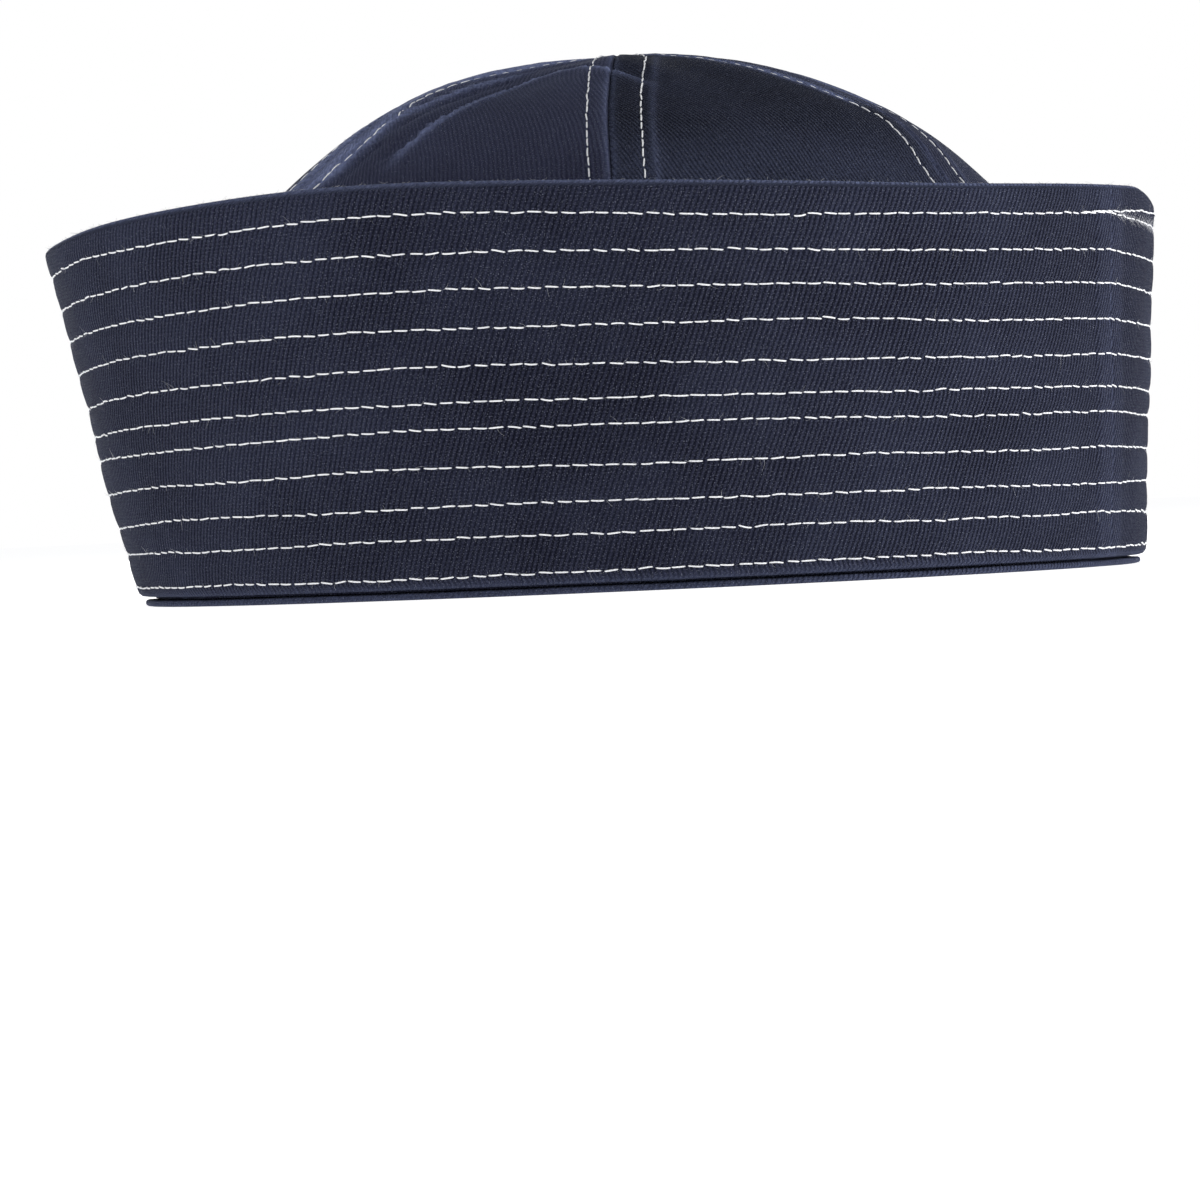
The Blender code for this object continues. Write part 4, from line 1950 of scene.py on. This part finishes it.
@dataclass
class Headband:
    """The band inside the crown, whose folded lip turns out under the brim.

    Attributes:
        frame: The cap's sizes.
        form: The crown's outer face.
        wall: Thickness of the folded band.
        inset: How far the band's outer face lies inside the crown's.
        edge_round: How far the band's upper edge is rounded off.
        lip_stray: How far the lip's edge strays from an even line.
        lip_rub: How rubbed the lip's edge is.
        columns: Mesh columns round the band.
    """

    frame: CapFrame
    form: CrownForm
    wall: float = 1.25 * MM
    inset: float = 1.5 * MM
    edge_round: float = 0.7 * MM
    lip_stray: float = 0.25 * MM
    lip_rub: float = 0.22
    columns: int = 420

    def lip_rows(self, turns: np.ndarray) -> list[np.ndarray]:
        """Points of the lip's rounded edge.

        Args:
            turns: Degrees round the cap.

        Returns:
            Rows of points, from the underside up.
        """
        frame, angles = self.frame, np.radians(turns)
        uneven = Ripple(61, 60, 1).at(turns, 0.0 * turns) + 0.6 * Ripple(62, 150, 1).at(turns, 0.0 * turns)
        rows = []
        for degrees in range(-90, 91, 30):
            angle = math.radians(degrees)
            inward = self.lip_stray * (1.0 - uneven) + self.wall / 2.0 * (1.0 - math.cos(angle))
            width = frame.foot_half_width - frame.lip_setback - inward
            length = frame.foot_half_length - frame.lip_setback - inward
            rise = self.wall / 2.0 * (1.0 + math.sin(angle)) * (1.0 + 0.04 * uneven * (degrees > 0))
            place = [width * np.sin(angles), frame.foot_centre - length * np.cos(angles), rise]
            rows.append(np.stack(place, axis=-1))
        return rows

    def wall_profile(self) -> list[tuple[float, float]]:
        """Heights of the wall's mesh rows and their depths inside the crown's face.

        Returns:
            The rows, from the seat of the crown over the band's upper edge and down to the floor.
        """
        top, seat = self.frame.band_top, self.form.centre[2]
        outer, inner = self.inset, self.inset + self.wall
        rows = [(seat - 0.3 * MM, outer + 0.5 * MM), (seat - 0.3 * MM, outer + 0.15 * MM)]
        rows += [(height, outer) for height in np.linspace(seat + 0.6 * MM, top - self.edge_round, 9)]
        rows += [(top - 0.2 * MM, outer + 0.3 * MM), (top, (outer + inner) / 2.0)]
        rows += [(top - 0.2 * MM, inner - 0.3 * MM)]
        rows += [(height, inner) for height in np.linspace(top - self.edge_round, 1.2 * MM, 9)]
        return rows + [(0.35 * MM, inner - 0.25 * MM), (0.0, inner - 0.9 * MM)]

    def wall_row(self, face: np.ndarray, height: float, depth: float) -> np.ndarray:
        """Points of the wall at one height.

        Args:
            face: The crown's even face, as climbs and turns.
            height: Their height.
            depth: How far inside the crown's face they lie.

        Returns:
            One point for each turn.
        """
        place = np.interp(height, face[:, 0, 2], np.arange(len(face)))
        index = min(int(place), len(face) - 2)
        share = place - index
        points = face[index] * (1.0 - share) + face[index + 1] * share
        points -= unit((face[index] - self.form.centre) * (1.0, 1.0, 0.0)) * depth
        points[:, 2] = height
        return points

    def cloth(self, material: bpy.types.Material) -> bpy.types.Object:
        """Builds the band and its lip.

        Args:
            material: Its finish.

        Returns:
            The piece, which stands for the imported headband.
        """
        turns = np.arange(self.columns) * 360.0 / self.columns
        face = np.array([self.form.points(turns, climb) for climb in np.linspace(0.0, 30.0, 60)])
        rows = self.lip_rows(turns)
        rows += [self.wall_row(face, height, depth) for height, depth in self.wall_profile()]
        grid = np.array(rows)
        round_way = path_length(np.concatenate([grid[4], grid[4, :1]])) / MM
        up = path_length(np.concatenate([grid[:, 0], grid[:1, 0]])) / MM
        mesh = grid_mesh("headband_cloth", grid, np.stack(np.meshgrid(round_way, up), axis=-1))
        wear_and_sheen = np.zeros(grid.shape[:2])
        wear_and_sheen[1:6] = self.lip_rub
        add_mask(mesh, WEAR_AND_SHEEN_MASK, wear_and_sheen)
        return add_piece(mesh, material, Slot.HEADBAND, "headband")


@dataclass
class Lint:
    """Short white fibres that the thread leaves beside the brim's rows.

    Attributes:
        brim: The brim.
        count: Fibres in all.
        rim_count: Fibres on the rim.
        tack_count: Fibres on the back tack.
        tack_columns: Columns of the brim between which the back tack's fibres stand.
        length: A third of a fibre's mean length.
        rim_length: Length of the rim's fibres as a share of the others'.
        flatness: How far the fibres run along a row, against across it.
        curl: How much a fibre bends sideways.
        lift: The least and the most steepness of a fibre.
        bulge: How far a long fibre clears the swollen cloth beside its row.
        clearance: How far a fibre's root stands over the cloth.
        stray: How far a fibre's root strays along its row.
        thickness: Half the width of the thinnest and the thickest fibre, in millimetres.
        rings: Mesh rings along a fibre.
        sides: Corners of a ring.
        seed: Seed of the draw.
    """

    brim: Brim
    count: int = 3200
    rim_count: int = 700
    tack_count: int = 400
    tack_columns: tuple[int, int] = (4, 34)
    length: float = 0.30 * MM
    rim_length: float = 0.55
    flatness: float = 0.8
    curl: float = 0.45
    lift: tuple[float, float] = (0.02, 0.35)
    bulge: float = 0.36 * MM
    clearance: float = 0.02 * MM
    stray: float = 1.0 * MM
    thickness: tuple[float, float] = (0.026, 0.042)
    rings: int = 5
    sides: int = 3
    seed: int = 77

    def fibres(self, material: bpy.types.Material) -> bpy.types.Object:
        """Strews the fibres.

        Args:
            material: Their finish.

        Returns:
            The piece.
        """
        brim, count = self.brim, self.count
        draw = np.random.default_rng(self.seed)
        rows = draw.integers(0, len(brim.row_shares), count)
        columns = draw.integers(4, len(brim.turns) - 4, count)
        lines = np.array([brim.stitch_lines[Face.OUTER, row] for row in rows])
        lines[: self.rim_count] = brim.rim_line
        tack = slice(self.rim_count, self.rim_count + self.tack_count)
        lines[tack] = brim.stitch_lines[Face.OUTER, len(brim.row_shares) - 1]
        columns[tack] = draw.integers(*self.tack_columns, self.tack_count)
        normal = brim.normals[lines, columns]
        along = unit(brim.grid[lines, columns + 1] - brim.grid[lines, columns - 1])
        angle = draw.uniform(0.0, 2.0 * np.pi, count)[:, None]
        way = along * np.cos(angle) * self.flatness + np.cross(normal, along) * np.sin(angle)
        aside = np.cross(normal, way)
        length = draw.gamma(3.0, self.length, count)[:, None, None]
        length[: self.rim_count] *= self.rim_length
        share = np.linspace(0.0, 1.0, self.rings)[None, :, None]
        curl = draw.normal(0.0, self.curl, count)[:, None, None]
        lift = draw.uniform(*self.lift, count)[:, None, None]
        root = brim.grid[lines, columns] + along * draw.normal(0.0, self.stray, count)[:, None]
        reach = share * length
        height = lift * reach + self.bulge * eased(reach / MM, 0.0, 1.6) + self.clearance
        line = root[:, None] + way[:, None] * reach + aside[:, None] * curl * reach * share
        line = line + normal[:, None] * height
        thickness = draw.uniform(*self.thickness, count)[:, None, None] * MM
        radii = thickness * (1.0 - 0.6 * share) * np.ones((1, 1, 2))
        ups = np.broadcast_to(normal[:, None], line.shape)
        mesh = strand_mesh("lint_fibres", line, ups, radii, self.sides)
        add_mask(mesh, TINT_MASK, np.repeat(draw.uniform(0.2, 0.9, count), self.rings * self.sides))
        return add_piece(mesh, material, Slot.STITCHING)


@dataclass(frozen=True)
class SoftBox:
    """A large soft lamp that faces the cap.

    Attributes:
        name: Its name.
        turn: Its place round the cap.
        elevation: Its height over the horizon in degrees.
        distance: Its distance from the cap.
        size: Its width and height.
        power: Its power in watts.
        tint: Its colour.
    """

    name: str
    turn: float
    elevation: float
    distance: float
    size: float
    power: float
    tint: Colour = (1.0, 1.0, 1.0)

    def build(self, target: Vector) -> None:
        """Puts the lamp in the scene.

        Args:
            target: The point that it is turned to.
        """
        data = bpy.data.lights.new(self.name, "AREA")
        data.shape = "SQUARE"
        data.size = self.size
        data.energy = self.power
        data.color = self.tint
        lamp = bpy.data.objects.new(self.name, data)
        bpy.context.scene.collection.objects.link(lamp)
        turn, rise = math.radians(self.turn), math.radians(self.elevation)
        way = Vector((math.sin(turn) * math.cos(rise), -math.cos(turn) * math.cos(rise), math.sin(rise)))
        lamp.location = target + way * self.distance
        lamp.rotation_euler = way.to_track_quat("Z", "Y").to_euler()


@dataclass
class Studio:
    """The pale floor, the soft light and the camera.

    Attributes:
        frame: The cap's sizes.
        view_turn: The side of the cap that the camera looks at.
        view_distance: From the camera to the cap's middle.
        view_height: The camera's height over the floor.
        view_aside: How far the camera's aim lies to the left of the cap's middle.
        pitch: Degrees that the camera looks down.
        roll: Degrees that the picture turns anticlockwise.
        lens: Focal length in millimetres on a 36 mm sensor.
        floor_size: Width and length of the floor.
        floor_colour: Its colour.
        floor_glow: How brightly it shines by itself.
        sky_light: Brightness of the surround.
        sky_tint: Its colour.
    """

    frame: CapFrame
    view_turn: float = 77.84
    view_distance: float = 0.8496
    view_height: float = 0.0133
    view_aside: float = 0.00977
    pitch: float = 1.10
    roll: float = 2.48
    lens: float = 123.76
    floor_size: float = 60.0
    floor_colour: Colour = (0.86, 0.86, 0.87)
    floor_glow: float = 0.80
    sky_light: float = 0.22
    sky_tint: Colour = (0.96, 0.98, 1.0)

    def camera(self) -> None:
        """Adds the camera at the photograph's angle."""
        turn = math.radians(self.view_turn)
        aside = Vector((math.cos(turn), math.sin(turn), 0.0))
        back = Vector((math.sin(turn), -math.cos(turn), 0.0))
        aim = Vector((0.0, self.frame.foot_centre, self.view_height)) - aside * self.view_aside
        pitch, roll = math.radians(self.pitch), math.radians(self.roll)
        away = back * math.cos(pitch) + Vector((0.0, 0.0, 1.0)) * math.sin(pitch)
        over = away.cross(aside)
        right = aside * math.cos(roll) - over * math.sin(roll)
        above = over * math.cos(roll) + aside * math.sin(roll)
        data = bpy.data.cameras.new("camera")
        data.sensor_width = 36.0
        data.lens = self.lens
        data.clip_start = 0.01
        data.clip_end = 200.0
        camera = bpy.data.objects.new("camera", data)
        bpy.context.scene.collection.objects.link(camera)
        place = Matrix((right, above, away)).transposed().to_4x4()
        place.translation = aim + back * self.view_distance
        camera.matrix_world = place
        bpy.context.scene.camera = camera

    def floor(self) -> None:
        """Adds the pale floor."""
        half = self.floor_size / 2.0
        mesh = bpy.data.meshes.new("floor")
        level = -0.05 * MM
        corners = [(-half, -half, level), (half, -half, level), (half, half, level), (-half, half, level)]
        mesh.from_pydata(corners, [], [(0, 1, 2, 3)])
        material, bench, surface = new_material("floor_paper")
        looks = {
            "Base Color": (*self.floor_colour, 1.0),
            "Roughness": 1.0,
            "Specular IOR Level": 0.0,
            "Emission Color": (1.0, 1.0, 1.0, 1.0),
            "Emission Strength": self.floor_glow,
        }
        bench.feed_all(surface, looks)
        mesh.materials.append(material)
        floor = bpy.data.objects.new("floor", mesh)
        bpy.context.scene.collection.objects.link(floor)

    def light(self) -> None:
        """Adds the white surround and the lamps."""
        world = bpy.data.worlds.new("white_surround")
        world.use_nodes = True
        bpy.context.scene.world = world
        bench = Bench(world.node_tree)
        surround = world.node_tree.nodes["Background"]
        surround.inputs["Color"].default_value = (*self.sky_tint, 1.0)
        surround.inputs["Strength"].default_value = self.sky_light
        seen = bench.add("ShaderNodeBackground", {"Color": (1.0, 1.0, 1.0, 1.0), "Strength": 1.0})
        ray = bench.add("ShaderNodeLightPath")
        both = bench.add("ShaderNodeMixShader")
        bench.feed(both.inputs[0], ray.outputs["Is Camera Ray"])
        bench.feed(both.inputs[1], surround.outputs[0])
        bench.feed(both.inputs[2], seen.outputs[0])
        bench.feed(world.node_tree.nodes["World Output"].inputs["Surface"], both.outputs[0])
        target = Vector((0.0, 0.0, 0.04))
        for box in (
            SoftBox("front_light", self.view_turn, 12.0, 2.2, 1.6, 19.5),
            SoftBox("side_light_left", self.view_turn - 82.0, 10.0, 1.8, 1.3, 6.0),
            SoftBox("side_light_right", self.view_turn + 92.0, 6.0, 1.8, 0.5, 24.0),
            SoftBox("back_light_left", self.view_turn - 160.0, 9.0, 1.9, 1.0, 21.0),
            SoftBox("back_light_right", self.view_turn + 165.0, 9.0, 1.9, 1.0, 12.0),
            SoftBox("top_light", self.view_turn, 86.0, 1.8, 1.4, 3.5),
        ):
            box.build(target)
        bpy.context.scene.view_settings.view_transform = "Standard"


def main() -> None:
    """Builds the cap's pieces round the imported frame, then the studio."""
    logging.basicConfig(level=logging.INFO, format="%(name)s %(message)s")
    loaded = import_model()
    frame = CapFrame(loaded["nodes"])
    crown_form = CrownForm(frame, tuple(f"crown_gore_{number}" for number in range(1, 7)))
    effects = ClothEffects()
    thread = ThreadFinish().build(effects)
    lint = ThreadFinish(name="lint", dull=(0.22, 0.23, 0.27), bright=(0.78, 0.79, 0.84)).build(effects)

    brim = Brim(frame)
    brim.cloth(TwillFinish("brim_twill").build(effects))
    for face in Face:
        brim.stitches(face, thread)

    crown = Crown(crown_form)
    for number, cut in enumerate(GORE_CUTS, start=1):
        crown.gore(number, cut.build(effects))
    crown.topstitches(thread)

    Headband(frame, crown_form).cloth(TwillFinish("headband_twill").build(effects))
    Lint(brim).fibres(lint)

    studio = Studio(frame)
    studio.floor()
    studio.light()
    studio.camera()


if __name__ == "__main__":
    main()
